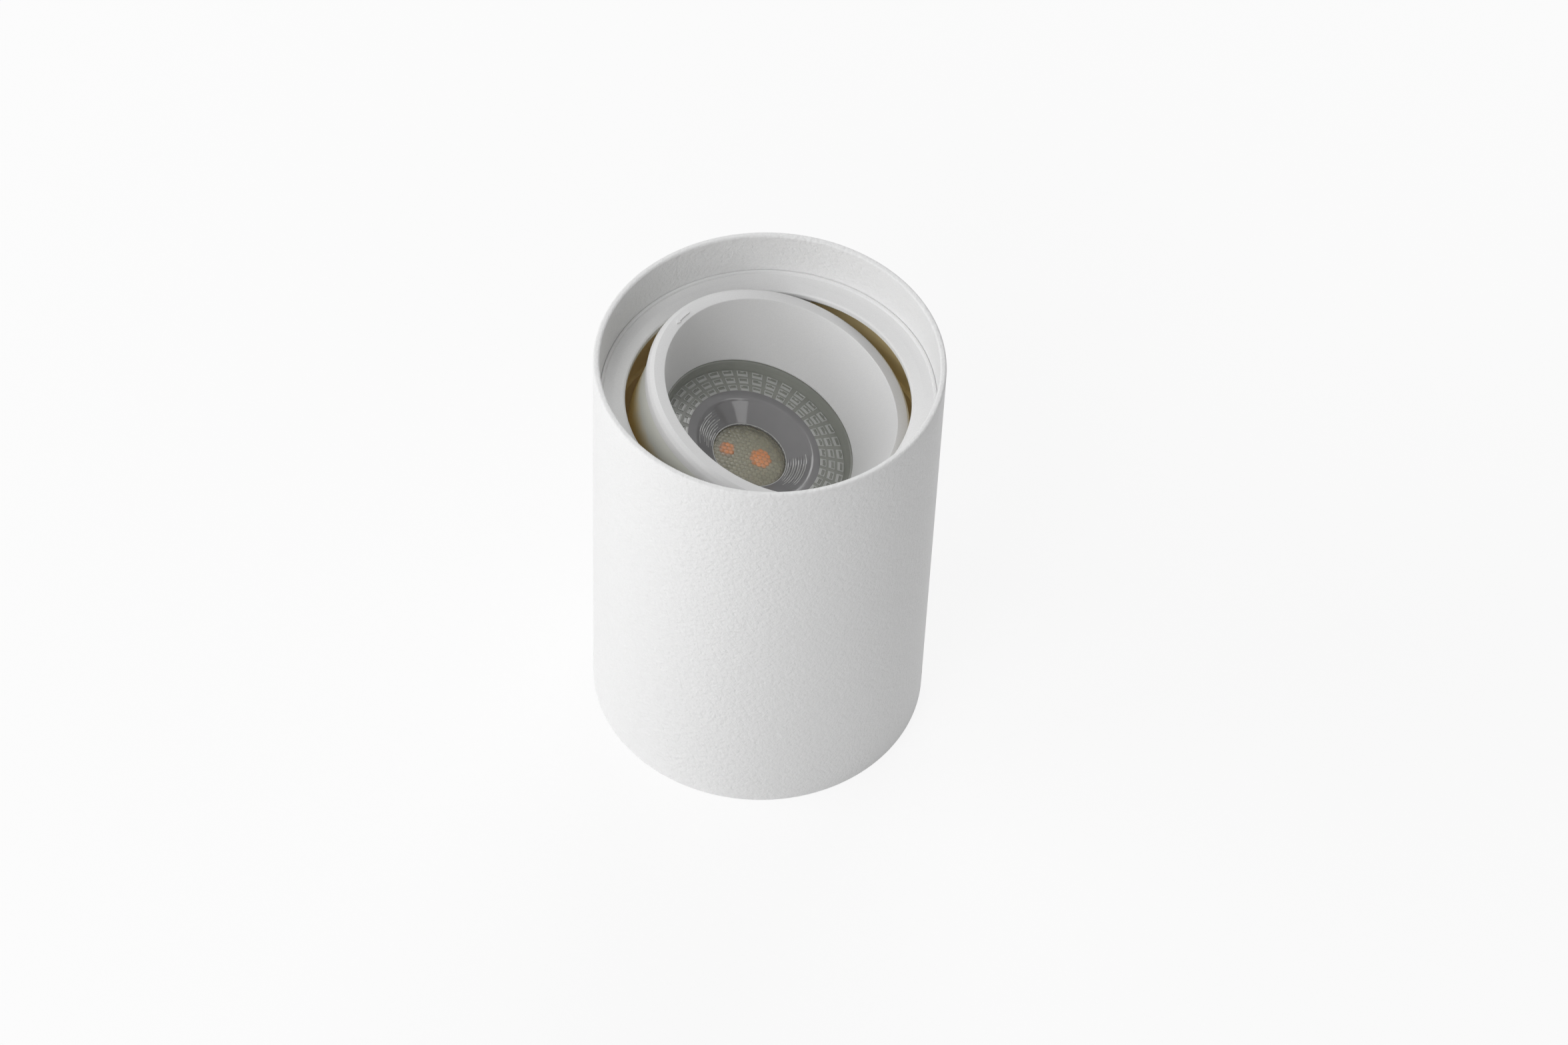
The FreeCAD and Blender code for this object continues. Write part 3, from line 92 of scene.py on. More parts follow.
# Heights in the head are measured along the lamp from the pivot.
FACE = 10.7
SEAM = 5.8
THROAT = -7.0
CAN_BACK = -32.5
LAMP_FRONT = -7.6
LENS_FRONT = -10.0
LENS_BORDER = 23.4
BAND_RADIUS = 16.9
PRISM_ROWS = (22.4, 20.15, 17.9)
LIP_HEIGHT = 0.16
CONE_RADIUS = 14.4
CONE_DEPTH = 3.4
# The fine rings in the cone: their outermost radius, their spacing and height, and how far round they lean.
RING_RADIUS = 14.1
RING_PITCH = 0.55
RING_HEIGHT = 0.09
RING_LEAN = math.radians(12)
EYE_RADIUS = 9.25
EYE_FRONT = -14.2
EYE_RISE = 0.7
BOARD_FRONT = -19.2


def linear(code):
    """An sRGB hex colour as linear RGBA."""
    channels = [int(code[i:i + 2], 16) / 255 for i in (1, 3, 5)]
    return (*(c / 12.92 if c <= 0.04045 else ((c + 0.055) / 1.055) ** 2.4 for c in channels), 1.0)


def length(name, about, millimetres, least=0.0):
    return FloatProperty(name=name, description=about, default=millimetres * MM, min=least * MM, unit="LENGTH")


def swatch(name, about, code):
    return FloatVectorProperty(
        name=name, description=about, subtype="COLOR", size=4, default=linear(code), min=0, max=1)


class SpotlightSizes(bpy.types.PropertyGroup):
    """Sizes of the details that only the finished look has."""
    prism_count: IntProperty(
        name="Prisms in a row", description="Prism pockets in each of the lens's rows", default=36, min=12, max=72)
    prism_depth: length("Prism depth", "How far a pocket's floor falls outwards", 0.1)
    pillow_pitch: length("Pillow pitch", "Spacing of the small pillows on the lens's eye", 1.3, 0.3)
    pillow_height: length("Pillow height", "Height of the small pillows on the lens's eye", 0.1)
    arrow_height: length("Arrow height", "How far the turning arrow stands off the trim's face", 0.4)
    peel_size: length("Orange peel", "Width of one ripple of the powder coat", 1.2, 0.2)


class SpotlightColours(bpy.types.PropertyGroup):
    """Colours of the finishes."""
    powder_white: swatch("Powder coat", "White of the tube and ring", "#f0f0f0")
    bare_aluminium: swatch("Bare aluminium", "Yellow passivated aluminium inside the tube", "#fbe9b8")
    phosphor: swatch("Phosphor", "Phosphor resin on the light chips", "#ff9208")
    lens_tint: swatch("Lens", "Body of the clear lens over its dark chamber", "#838283")


# ---------------------------------------------------------------- surfaces


def rounded(corners, steps=6):
    """A polyline through corners (across, up, radius), each corner a true arc that touches both its runs.
    On a corner of half angle h the arc starts radius / tan(h) along each run."""
    points = np.array([c[:2] for c in corners], float)
    radii = np.array([c[2] if len(c) > 2 else 0 for c in corners], float)
    run = []
    for before, corner, after, radius in zip(np.roll(points, 1, 0), points, np.roll(points, -1, 0), radii):
        if radius == 0:
            run.append(corner[None])
            continue
        back = (before - corner) / np.linalg.norm(before - corner)
        on = (after - corner) / np.linalg.norm(after - corner)
        half = math.acos(np.clip(back @ on, -1, 1)) / 2
        middle = (back + on) / np.linalg.norm(back + on)
        centre = corner + middle * radius / math.sin(half)
        sweep = np.linspace(-1, 1, steps + 1)[:, None] * (math.pi / 2 - half)
        across = (on - back) / np.linalg.norm(on - back)
        run.append(centre + radius * (np.sin(sweep) * across - np.cos(sweep) * middle))
    return np.concatenate(run)


def divided(profile, step):
    """A closed profile with each run cut into pieces no longer than step."""
    ends = np.roll(profile, -1, 0)
    counts = np.maximum(1, np.ceil(np.linalg.norm(ends - profile, axis=1) / step).astype(int))
    shares = [np.linspace(0, 1, count, endpoint=False)[:, None] for count in counts]
    return np.concatenate([start + (end - start) * share for start, end, share in zip(profile, ends, shares)])


def lathe(profile, angles):
    """Point (i, j) of the grid is (r_i cos a_j, r_i sin a_j, h_i)."""
    r, h = profile[:, 0, None], profile[:, 1, None]
    a = np.asarray(angles)[None]
    return np.stack([r * np.cos(a), r * np.sin(a), h + 0 * a], axis=-1)


def full_turn(count):
    return np.linspace(0, 2 * math.pi, count, endpoint=False)


def quads(rows, columns, wrap_rows=True, keep=None):
    """Corner numbers of a grid's cells: (i, j), (i, j+1), (i+1, j+1), (i+1, j), kept where keep is true. The
    columns close on themselves, and so do the rows if wrap_rows is true."""
    i, j = np.meshgrid(np.arange(rows if wrap_rows else rows - 1), np.arange(columns), indexing="ij")
    if keep is not None:
        i, j = i[keep], j[keep]
    below, beside = (i + 1) % rows, (j + 1) % columns
    cells = [i * columns + j, i * columns + beside, below * columns + beside, below * columns + j]
    return np.stack(cells, axis=-1).reshape(-1, 4)


def cut_through(keep, outside):
    """Faces of a closed grid where keep is true, and the walls of what is cut. Of the first outside rows, row i
    faces row -1 - i, and each edge there between a kept and a cut cell is joined to the edge that faces it."""
    rows, columns = keep.shape
    grid = np.arange(rows * columns).reshape(rows, columns)
    walls = []
    for axis, down, beside in ((1, 1, 0), (0, 0, 1)):
        i, j = np.nonzero((keep != np.roll(keep, 1, axis))[:outside])
        i2, j2 = i + down, (j + beside) % columns
        walls.append(np.stack([grid[i, j], grid[i2, j2], grid[-1 - i2, j2], grid[-1 - i, j]], -1))
    return np.concatenate([quads(rows, columns, keep=keep), *walls])


def to_head(points):
    """Head coordinates (x, y, height from the pivot) turned by the lamp's lean about Y and lifted to the pivot."""
    x, y, h = points[..., 0], points[..., 1], points[..., 2]
    across, along = math.cos(TILT), math.sin(TILT)
    return np.stack([x * across + h * along, y, PIVOT_HEIGHT - x * along + h * across], -1)


def from_head(points):
    """The other way round from to_head."""
    x, y, z = points[..., 0], points[..., 1], points[..., 2] - PIVOT_HEIGHT
    across, along = math.cos(TILT), math.sin(TILT)
    return np.stack([x * across - z * along, y, x * along + z * across], -1)


def pillows(x, y, pitch):
    """1 - 3 (d / pitch)^2, where d is the distance to the nearest point of a hexagonal net: two rectangular nets
    of pitch by root three pitches, the second moved half a cell each way."""
    cell = np.array([1, math.sqrt(3)]) * pitch
    nets = [np.stack([x, y], -1) / cell - shift for shift in (0.0, 0.5)]
    squares = [(((net - np.round(net)) * cell) ** 2).sum(-1) for net in nets]
    return 1 - 3 * np.min(squares, 0) / pitch ** 2


def joined(parts):
    """Several (points, faces) as one."""
    start, points, faces = 0, [], []
    for part_points, part_faces in parts:
        part_points = part_points.reshape(-1, 3)
        points.append(part_points)
        faces.append(part_faces + start)
        start += len(part_points)
    return np.concatenate(points), np.concatenate(faces)


def piece(name, shell, body, nodes, finish, smooth=35):
    """A mesh object in the frame from millimetre points and four-cornered faces. Points without a face are left
    out, doubles merged, faces turned outwards, and edges sharper than smooth degrees kept sharp."""
    points, faces = shell
    used, faces = np.unique(faces, return_inverse=True)
    mesh = bpy.data.meshes.new(name)
    mesh.from_pydata(points.reshape(-1, 3)[used] * MM, [], faces.reshape(-1, 4))
    work = bmesh.new()
    work.from_mesh(mesh)
    bmesh.ops.remove_doubles(work, verts=work.verts, dist=0.0005 * MM)
    bmesh.ops.recalc_face_normals(work, faces=work.faces)
    work.to_mesh(mesh)
    work.free()
    mesh.shade_smooth()
    mesh.set_sharp_from_angle(angle=math.radians(smooth))
    for kind in finish:
        mesh.materials.append(finishes()[kind])
    thing = bpy.data.objects.new(name, mesh)
    bpy.context.scene.collection.objects.link(thing)
    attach(thing, body)
    if nodes:
        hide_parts(*nodes)
    return mesh


def turned(profile, count, closed=True):
    """A turned part as (points, faces). Its profile is closed, or else starts and ends on the axis."""
    return lathe(profile, full_turn(count)), quads(len(profile), count, wrap_rows=closed)


def read(items, name):
    """The place of each face or point of a mesh, in millimetres."""
    values = np.empty(len(items) * 3)
    items.foreach_get(name, values)
    return values.reshape(-1, 3) / MM


def paint(mesh, numbers):
    """Give each face the finish of its number."""
    mesh.polygons.foreach_set("material_index", numbers.astype(np.int32))


# ---------------------------------------------------------------- finishes


def add(tree, kind, links=None, **settings):
    """A node with its properties or input values set and its inputs linked."""
    node = tree.nodes.new(kind)
    for name, value in settings.items():
        if hasattr(node, name):
            setattr(node, name, value)
        else:
            node.inputs[name.replace("_", " ")].default_value = value
    for socket, source in (links or {}).items():
        tree.links.new(source, node.inputs[socket])
    return node


def new_material(name):
    """An empty material, its tree, its shader and its Object coordinates."""
    material = bpy.data.materials.new(name)
    material.use_nodes = True
    tree = material.node_tree
    tree.nodes.clear()
    shader = add(tree, "ShaderNodeBsdfPrincipled")
    add(tree, "ShaderNodeOutputMaterial", {"Surface": shader.outputs[0]})
    return material, tree, shader, add(tree, "ShaderNodeTexCoord").outputs["Object"]


def ramp(tree, factor, stops):
    """A colour ramp from (place, colour) stops."""
    node = add(tree, "ShaderNodeValToRGB", {"Fac": factor})
    elements = node.color_ramp.elements
    while len(elements) < len(stops):
        elements.new(0.5)
    for element, (place, colour) in zip(elements, stops):
        element.position = place
        element.color = colour
    return node.outputs["Color"]


def noise(tree, place, size_mm, detail, **settings):
    """A noise from 0 to 1 whose spots are size_mm wide."""
    return add(tree, "ShaderNodeTexNoise", {"Vector": place},
               Scale=1 / (size_mm * MM), Detail=detail, **settings).outputs["Fac"]


def spread(tree, value, low, high, **settings):
    """A value from 0 to 1 moved to the range from low to high."""
    return add(tree, "ShaderNodeMapRange", {"Value": value}, To_Min=low, To_Max=high, **settings).outputs[0]


def stretched(tree, place, scale):
    return add(tree, "ShaderNodeMapping", {"Vector": place}, Scale=scale).outputs[0]


def shade(colour, factor):
    return (*(c * factor for c in colour[:3]), 1.0)


def dress(tree, shader, tone, height=None, strength=0.0, depth_mm=0.0, **values):
    """Give the shader its colour, its bump and its other values, each a number or the output of a node."""
    tree.links.new(tone, shader.inputs["Base Color"])
    if height:
        bump = add(tree, "ShaderNodeBump", {"Height": height}, Strength=strength, Distance=depth_mm * MM)
        tree.links.new(bump.outputs[0], shader.inputs["Normal"])
    for name, value in values.items():
        socket = shader.inputs[name.replace("_", " ")]
        if isinstance(value, bpy.types.NodeSocket):
            tree.links.new(value, socket)
        else:
            socket.default_value = value


def powder_coat(name, colour, grain_mm, relief_mm, roughness):
    """Polyester powder coat, sprayed and baked: soft ripples called orange peel, a satin sheen, and a
    faint fine speckle. The ripple's width is grain_mm."""
    material, tree, shader, place = new_material(name)
    ripple = noise(tree, place, grain_mm, 2.0, Roughness=0.55)
    speckle = noise(tree, place, 0.3, 1.0)
    tone = ramp(tree, speckle, [(0.35, shade(colour, 0.965)), (0.65, colour)])
    gloss = spread(tree, ripple, roughness - 0.04, roughness + 0.06)
    dress(tree, shader, tone, ripple, 0.6, relief_mm, Roughness=gloss, IOR=1.5, Specular_IOR_Level=0.35)
    return material


def turned_aluminium(name, colour):
    """Drawn aluminium tube with a yellow chromate film: darker uneven film, fine lines along the draw, and a faint
    painted glow.
    """
    material, tree, shader, place = new_material(name)
    lines = noise(tree, stretched(tree, place, (1.0, 1.0, 0.03)), 0.5, 3.0)
    cloud = noise(tree, place, 14, 3.0)
    film = ramp(tree, cloud, [(0.3, shade(colour, 0.88)), (0.7, colour)])
    # Painted light: this faint glow stands in for light bounced into the narrow gap beside the ring. It was set so that
    # the gap has the photograph's tone.
    dress(tree, shader, film, lines, 0.2, 0.01, Roughness=spread(tree, lines, 0.34, 0.52),
          Emission_Color=film, Emission_Strength=0.022)
    return material


def plated_steel(name, colour, roughness):
    """Zinc plated or rolled steel, or another bare metal: cloudy plating and fine rolling lines."""
    material, tree, shader, place = new_material(name)
    lines = noise(tree, stretched(tree, place, (1.0, 0.06, 1.0)), 0.25, 2.0)
    cloud = noise(tree, place, 5, 4.0)
    tone = ramp(tree, cloud, [(0.35, shade(colour, 0.84)), (0.65, colour)])
    dress(tree, shader, tone, lines, 0.25, 0.01, Metallic=1.0,
          Roughness=spread(tree, lines, roughness - 0.06, roughness + 0.1))
    return material


def moulded(name, colour, roughness, texture_mm=0.35, relief_mm=0.01, sheen=0.0, subsurface=0.0):
    """A moulded plastic, rubber or pressed ceramic: even colour with a fine mould texture."""
    material, tree, shader, place = new_material(name)
    skin = noise(tree, place, texture_mm, 3.0)
    flow = noise(tree, place, 9, 2.0)
    tone = ramp(tree, flow, [(0.3, shade(colour, 0.93)), (0.7, colour)])
    dress(tree, shader, tone, skin, 0.4, relief_mm, Roughness=spread(tree, skin, roughness - 0.05, roughness + 0.07),
          Sheen_Weight=sheen, Subsurface_Weight=subsurface, Subsurface_Scale=0.5 * MM)
    return material


def striped_insulation(name, green, yellow):
    """Earth lead's covering: green with a broad slanting yellow stripe."""
    material, tree, shader, place = new_material(name)
    stripe = add(tree, "ShaderNodeTexWave", {"Vector": place},
                 wave_type="BANDS", bands_direction="DIAGONAL", Scale=1 / (60 * MM), Distortion=0.0)
    tone = ramp(tree, stripe.outputs["Fac"], [(0.48, green), (0.52, yellow)])
    dress(tree, shader, tone, Roughness=0.4)
    return material


def pillowed_eye(name, crest, crease_shade):
    """Clear polycarbonate over the light chamber, with painted shade along the creases between its pillows: there it is
    darker and passes less light.
    """
    material, tree, shader, place = new_material(name)
    height = add(tree, "ShaderNodeAttribute", attribute_name="pillow").outputs["Fac"]
    low, high = 0.1, 0.7
    tone = ramp(tree, height, [(low, crease_shade), (high, crest)])
    shaded_transmission = spread(tree, height, 0.8, 0.96, From_Min=low, From_Max=high)
    dress(tree, shader, tone, Roughness=0.22, IOR=1.45, Specular_IOR_Level=0.08, Transmission_Weight=shaded_transmission)
    return material


def polycarbonate(name, colour, roughness):
    """Injection moulded polycarbonate, seen as the chamber behind it: smooth, with faint flow lines."""
    material, tree, shader, place = new_material(name)
    flow = noise(tree, place, 6, 2.0)
    tone = ramp(tree, flow, [(0.3, shade(colour, 0.93)), (0.7, colour)])
    dress(tree, shader, tone, flow, 0.2, 0.02, Roughness=roughness, IOR=1.585)
    return material


def coat_with_painted_reflection(name, white, bare):
    """White powder coat on the can with a painted reflection of the yellow bore: white at the mouth, turning yellow
    further back.
    """
    material, tree, shader, place = new_material(name)
    lean = add(tree, "ShaderNodeMapping", {"Vector": place}, vector_type="TEXTURE",
               Location=(0, 0, PIVOT_HEIGHT * MM), Rotation=(0, TILT, 0))
    height = add(tree, "ShaderNodeSeparateXYZ", {"Vector": lean.outputs[0]}).outputs["Z"]
    border_noise = noise(tree, place, 2.5, 4.0)
    drift = spread(tree, border_noise, -1.2 * MM, 1.2 * MM)
    level = add(tree, "ShaderNodeMath", {0: height, 1: drift}, operation="ADD").outputs[0]
    white_share = spread(tree, level, 0.0, 1.0, From_Min=-13 * MM, From_Max=2.5 * MM)
    # Painted reflection: the can turns from white at the mouth to the bore's yellow towards its back.
    tone = ramp(tree, white_share, [(0.0, bare), (0.45, shade(bare, 0.95)), (0.85, white)])
    dress(tree, shader, tone, noise(tree, place, 0.8, 2.0), 0.4, 0.02, Roughness=0.48)
    return material


def seen_directly(tree):
    """1 for a ray from the camera, off a glossy face or through a clear part, and 0 for one that lights things."""
    rays = add(tree, "ShaderNodeLightPath").outputs
    seen = rays["Is Camera Ray"]
    for kind in ("Is Glossy Ray", "Is Transmission Ray"):
        seen = add(tree, "ShaderNodeMath", {0: seen, 1: rays[kind]}, operation="MAXIMUM").outputs[0]
    return seen


def studio_floor():
    """Pale matt floor. What the camera, a reflection or a clear part sees of it is mostly plain white, so that it
    runs into the white background, and the rest keeps the object's shadow."""
    material, tree, shader, place = new_material("pale floor")
    shader.inputs["Base Color"].default_value = linear("#f2f2f2")
    shader.inputs["Roughness"].default_value = 0.9
    # The plain share grows from 86 % beside the object to all of it a metre away.
    away = add(tree, "ShaderNodeVectorMath", {0: place}, operation="LENGTH").outputs["Value"]
    plain = spread(tree, away, 0.86, 1.0, From_Min=0.15, From_Max=1.0)
    share = add(tree, "ShaderNodeMath", {0: seen_directly(tree), 1: plain}, operation="MULTIPLY").outputs[0]
    glow = add(tree, "ShaderNodeEmission", Color=(1, 1, 1, 1), Strength=1.0).outputs[0]
    mix = add(tree, "ShaderNodeMixShader", {0: share, 1: shader.outputs[0], 2: glow}).outputs[0]
    # From below the floor is clear, so that the ceiling side can be looked at.
    under = add(tree, "ShaderNodeNewGeometry").outputs["Backfacing"]
    clear = add(tree, "ShaderNodeBsdfTransparent").outputs[0]
    both = add(tree, "ShaderNodeMixShader", {0: under, 1: mix, 2: clear}).outputs[0]
    tree.links.new(both, tree.nodes["Material Output"].inputs["Surface"])
    return material


FINISHES = {}


def finishes():
    """Every finish of the spotlight, made once."""
    if FINISHES:
        return FINISHES
    colours = bpy.context.scene.spotlight_colours
    white, bare = tuple(colours.powder_white), tuple(colours.bare_aluminium)
    peel = bpy.context.scene.spotlight_sizes.peel_size / MM
    FINISHES.update({
        "coat": powder_coat("polyester powder coat", white, peel, 0.5, 0.46),
        "ring_coat": powder_coat("satin powder coat", shade(white, 0.94), 0.8, 0.02, 0.42),
        # Painted reflection: the lamp can yellows towards its back as if lit by the yellow bore.
        "can_coat_painted_reflection": coat_with_painted_reflection("powder coat with painted yellow reflection", linear("#e2e3db"), linear("#f6dc9a")),
        "bare": turned_aluminium("yellow passivated aluminium", bare),
        "zinc": plated_steel("bright zinc plated steel", linear("#c3c7ca"), 0.3),
        "spring": plated_steel("rolled spring steel", linear("#9a9da2"), 0.25),
        "screw": plated_steel("zinc plated screw", linear("#c6c5bd"), 0.32),
        "stainless": plated_steel("stainless steel", linear("#b4b4b4"), 0.28),
        "brass": plated_steel("turned brass", linear("#c9a35a"), 0.28),
        "tinned": plated_steel("tinned brass", linear("#c2c0b8"), 0.36),
        "bronze": plated_steel("phosphor bronze", linear("#b9895a"), 0.3),
        "nickel": plated_steel("nickel plated brass", linear("#cbc7bb"), 0.2),
        "nylon": moulded("natural nylon", linear("#e2dfd2"), 0.5, subsurface=0.1),
        "rubber": moulded("black rubber", linear("#262626"), 0.62, sheen=0.1),
        "plastic": moulded("white thermoplastic", linear("#e3e3de"), 0.38),
        "ceramic": moulded("pressed steatite", linear("#dcd6c6"), 0.46, texture_mm=0.6, relief_mm=0.03),
        "brown": moulded("brown silicone insulation", linear("#5d3a22"), 0.45),
        "blue": moulded("blue silicone insulation", linear("#2f5fa8"), 0.45),
        "earth": striped_insulation("green and yellow insulation", linear("#2e8b3a"), linear("#e3cf33")),
        "board": moulded("white solder resist", linear("#bdbdb6"), 0.4),
        "chamber": moulded("grey chamber wall", linear("#9a998f"), 0.5),
        "phosphor": moulded("phosphor resin", tuple(colours.phosphor), 0.9),
        "lens": polycarbonate("clear polycarbonate", tuple(colours.lens_tint), 0.09),
        # Painted highlight: the pale finish of the prism edges, the eye's lip and arcs on the ring crests.
        "lens_lip_highlight": polycarbonate("polycarbonate with painted edge highlights", linear("#bebfbc"), 0.2),
        "lens_band": polycarbonate("polycarbonate over the pale chamber", linear("#93958e"), 0.16),
        # Painted shade: the eye is darker along the creases between its pillows.
        "eye": pillowed_eye("pillowed polycarbonate eye", linear("#faf8ea"), linear("#b3b1a2")),
    })
    return FINISHES


CAD_FINISH = {
    "mounting_plate": "zinc", "side_screws": "stainless", "terminal_block": "nylon", "terminal_clamps": "brass",
    "terminal_screws": "screw", "block_screw": "screw", "earth_screw": "screw", "earth_lug": "tinned",
    "retaining_springs": "spring", "spring_rivets": "stainless", "bayonet_pins": "ring_coat", "pivot_screws": "screw",
    "friction_washers": "nylon", "lamp_base": "plastic", "lamp_pins": "nickel", "led_board": "board",
    "lamp_socket": "ceramic", "socket_contacts": "bronze", "socket_screws": "screw", "socket_nuts": "screw",
    "socket_bracket": "zinc", "bracket_screws": "screw",
}


# ---------------------------------------------------------------- pieces


class SPOT_OT_finish_metalwork(bpy.types.Operator):
    """Give each part of the frame that stays in sight its finish"""
    bl_idname = "spotlight.finish_metalwork"
    bl_label = "Finish the kept parts"

    def execute(self, context):
        made = finishes()
        for node, finish in CAD_FINISH.items():
            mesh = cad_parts[node].data
            mesh.materials.clear()
            mesh.materials.append(made[finish])
        return {"FINISHED"}


class SPOT_OT_tube(bpy.types.Operator):
    """Build the tube with its coated outside, stepped mouth, bare bore and side screw holes"""
    bl_idname = "spotlight.tube"
    bl_label = "Tube"

    def execute(self, context):
        foot, window, cell, square = 0.4, 4.0, 0.5, 2.0
        steps = np.arange(-window, window + cell / 2, cell)
        outer = [(TUBE_RADIUS - foot, 0.0), (TUBE_RADIUS, foot)]
        outer += [(TUBE_RADIUS, SIDE_SCREW_HEIGHT + step) for step in steps]
        outer += [(TUBE_RADIUS, z) for z in np.arange(14.0, 118.0, 4.0)]
        rim = rounded([
            (TUBE_RADIUS, 100.0), (TUBE_RADIUS, TUBE_HEIGHT, 0.6), (MOUTH_BORE, TUBE_HEIGHT, 0.6),
            (MOUTH_BORE, SHOULDER, 0.15), (BORE_RADIUS, SHOULDER, 0.1), (BORE_RADIUS, GROOVE[1]),
            (GROOVE_RADIUS, GROOVE[1]), (GROOVE_RADIUS, GROOVE[0]), (BORE_RADIUS, GROOVE[0])])[1:]
        inner = [(BORE_RADIUS, SIDE_SCREW_HEIGHT + step) for step in steps[::-1]]
        inner += [(BORE_RADIUS, foot), (BORE_RADIUS, 0.0)]
        profile = np.array([*outer, *rim, *inner])
        # The columns are a 240th of a turn apart, and one cell apart in the windows round the two side holes.
        fine = np.round(np.concatenate([steps / TUBE_RADIUS % (2 * math.pi), steps / TUBE_RADIUS + math.pi]), 6)
        coarse = np.round(full_turn(240), 6)
        coarse = coarse[np.abs(np.sin(coarse)) > (window + 0.05) / TUBE_RADIUS]
        angles = np.unique(np.concatenate([coarse, fine]))
        # The square that is cut out of each window is rounded to the hole's circle: from the square's edge to the
        # window's, each point moves from its place on the circle back to its own place. Rows off the two walls
        # count as far away.
        far = 99.0
        straight = (profile[:, 0] == TUBE_RADIUS) | (profile[:, 0] == BORE_RADIUS)
        up = np.where(straight, profile[:, 1] - SIDE_SCREW_HEIGHT, far)
        a, b = np.meshgrid(np.arcsin(np.sin(angles)) * TUBE_RADIUS, up)
        reach = np.maximum(np.abs(a), np.abs(b))
        near_hole = (reach > square - 0.01) & (reach < window)
        blend = np.clip((reach - square) / (window - square), 0, 1)
        pull = blend + (1 - blend) * SIDE_HOLE_RADIUS / np.maximum(np.hypot(a, b), 1e-9)
        turn = a * pull / TUBE_RADIUS
        turn = np.where(near_hole, np.where(np.cos(angles) > 0, turn, math.pi - turn), angles)
        radius, z = profile[:, :1], np.where(near_hole, SIDE_SCREW_HEIGHT + b * pull, profile[:, 1:])
        points = np.stack([radius * np.cos(turn), radius * np.sin(turn), z], -1)
        middle_a, middle_b = (a + np.roll(a, -1, 1)) / 2, (b + np.roll(b, -1, 0)) / 2
        keep = (np.abs(middle_a) > square - 0.1) | (np.abs(middle_b) > square - 0.1)
        shell = points, cut_through(keep, len(outer))
        tube = piece("tube", shell, "housing", ["housing_tube"], ["coat", "bare"])
        x, y, z = read(tube.polygons, "center").T
        paint(tube, (z < SHOULDER - 0.02) & (np.hypot(x, y) < GROOVE_RADIUS + 0.02))
        return {"FINISHED"}


class SPOT_OT_cable_bush(bpy.types.Operator):
    """Build the rubber bush of the cable entry"""
    bl_idname = "spotlight.cable_bush"
    bl_label = "Cable bush"

    def execute(self, context):
        (_, _, low), (wide, _, high) = (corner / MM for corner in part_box("cable_grommet"))
        bore, neck, step = 4.5, 6.95, 1.55
        profile = rounded([
            (bore, low, 0.3), (neck, low, 0.1), (neck, step), (wide, step, 0.3), (wide, high, 0.7), (bore, high, 0.6)])
        piece("cable_bush", turned(profile, 96), "housing", ["cable_grommet"], ["rubber"])
        return {"FINISHED"}


class SPOT_OT_swivel_ring(bpy.types.Operator):
    """Build the swivel ring with its bead, dished face, spigot and two pivot ears"""
    bl_idname = "spotlight.swivel_ring"
    bl_label = "Swivel ring"

    def execute(self, context):
        profile = rounded([
            (34.76, 105.2, 0.2), (38.2, 105.2), (38.2, 101.0, 0.2), (39.7, 101.0, 0.3), (39.7, 105.2),
            (40.84, 105.2, 0.1), (40.84, 108.1, 0.2), (40.1, 108.1, 0.35), (40.0, 107.4, 0.12), (37.6, 107.3, 1.0),
            (35.2, 106.9, 0.5), (34.76, 106.6, 0.3)], steps=5)
        # An ear is a washer whose outline runs from a half circle below to a square top: at angle a the edge lies
        # at the round radius below, and above at the nearer of the straight sides.
        bore, half, top = 2.06, 6.5, 105.7 - PIVOT_HEIGHT
        a = full_turn(64)
        cos, sin = np.cos(a), np.sin(a)
        sides = np.minimum(half / np.maximum(np.abs(cos), 1e-9), top / np.maximum(np.abs(sin), 1e-9))
        section = np.array([(0, 35.7), (0.15, 35.6), (1, 35.6), (1, 37.4), (0.15, 37.4), (0, 37.3)])
        edge = bore + (np.where(sin < 0, half, sides) - bore) * section[:, :1]
        ears = [(np.stack([edge * cos, side * section[:, 1:] + 0 * edge, PIVOT_HEIGHT + edge * sin], -1),
                 quads(*edge.shape)) for side in (-1, 1)]
        shell = joined([turned(profile, 256), *ears])
        piece("swivel_ring", shell, "carrier", ["carrier_ring"], ["ring_coat"])
        return {"FINISHED"}


class SPOT_OT_lamp_can(bpy.types.Operator):
    """Build the can that carries the lamp, with its bosses"""
    bl_idname = "spotlight.lamp_can"
    bl_label = "Lamp can"

    def execute(self, context):
        mouth, bend, floor = SEAM - 0.15, -9.0, CAN_BACK + 1.2
        shell = turned(divided(rounded([
            (32.6, mouth, 0.6), (32.6, bend, 4.0), (27.0, CAN_BACK, 1.6), (20.5, CAN_BACK, 0.2),
            (20.5, floor, 0.2), (26.2, floor, 1.0), (31.4, bend, 4.0), (31.4, mouth, 0.2)]), 3.0), 224)
        boss, faces = turned(rounded([
            (0.0, 31.7), (4.5, 31.7), (4.5, 34.6, 0.3), (1.5, 34.6, 0.1), (1.5, 33.2), (0.0, 33.2)]), 48, closed=False)
        bosses = [(np.stack([boss[..., 0], side * boss[..., 2], boss[..., 1]], -1), faces) for side in (-1, 1)]
        points, faces = joined([shell, *bosses])
        piece("lamp_holder_can", (to_head(points), faces), "head", ["lamp_can"], ["can_coat_painted_reflection"])
        return {"FINISHED"}


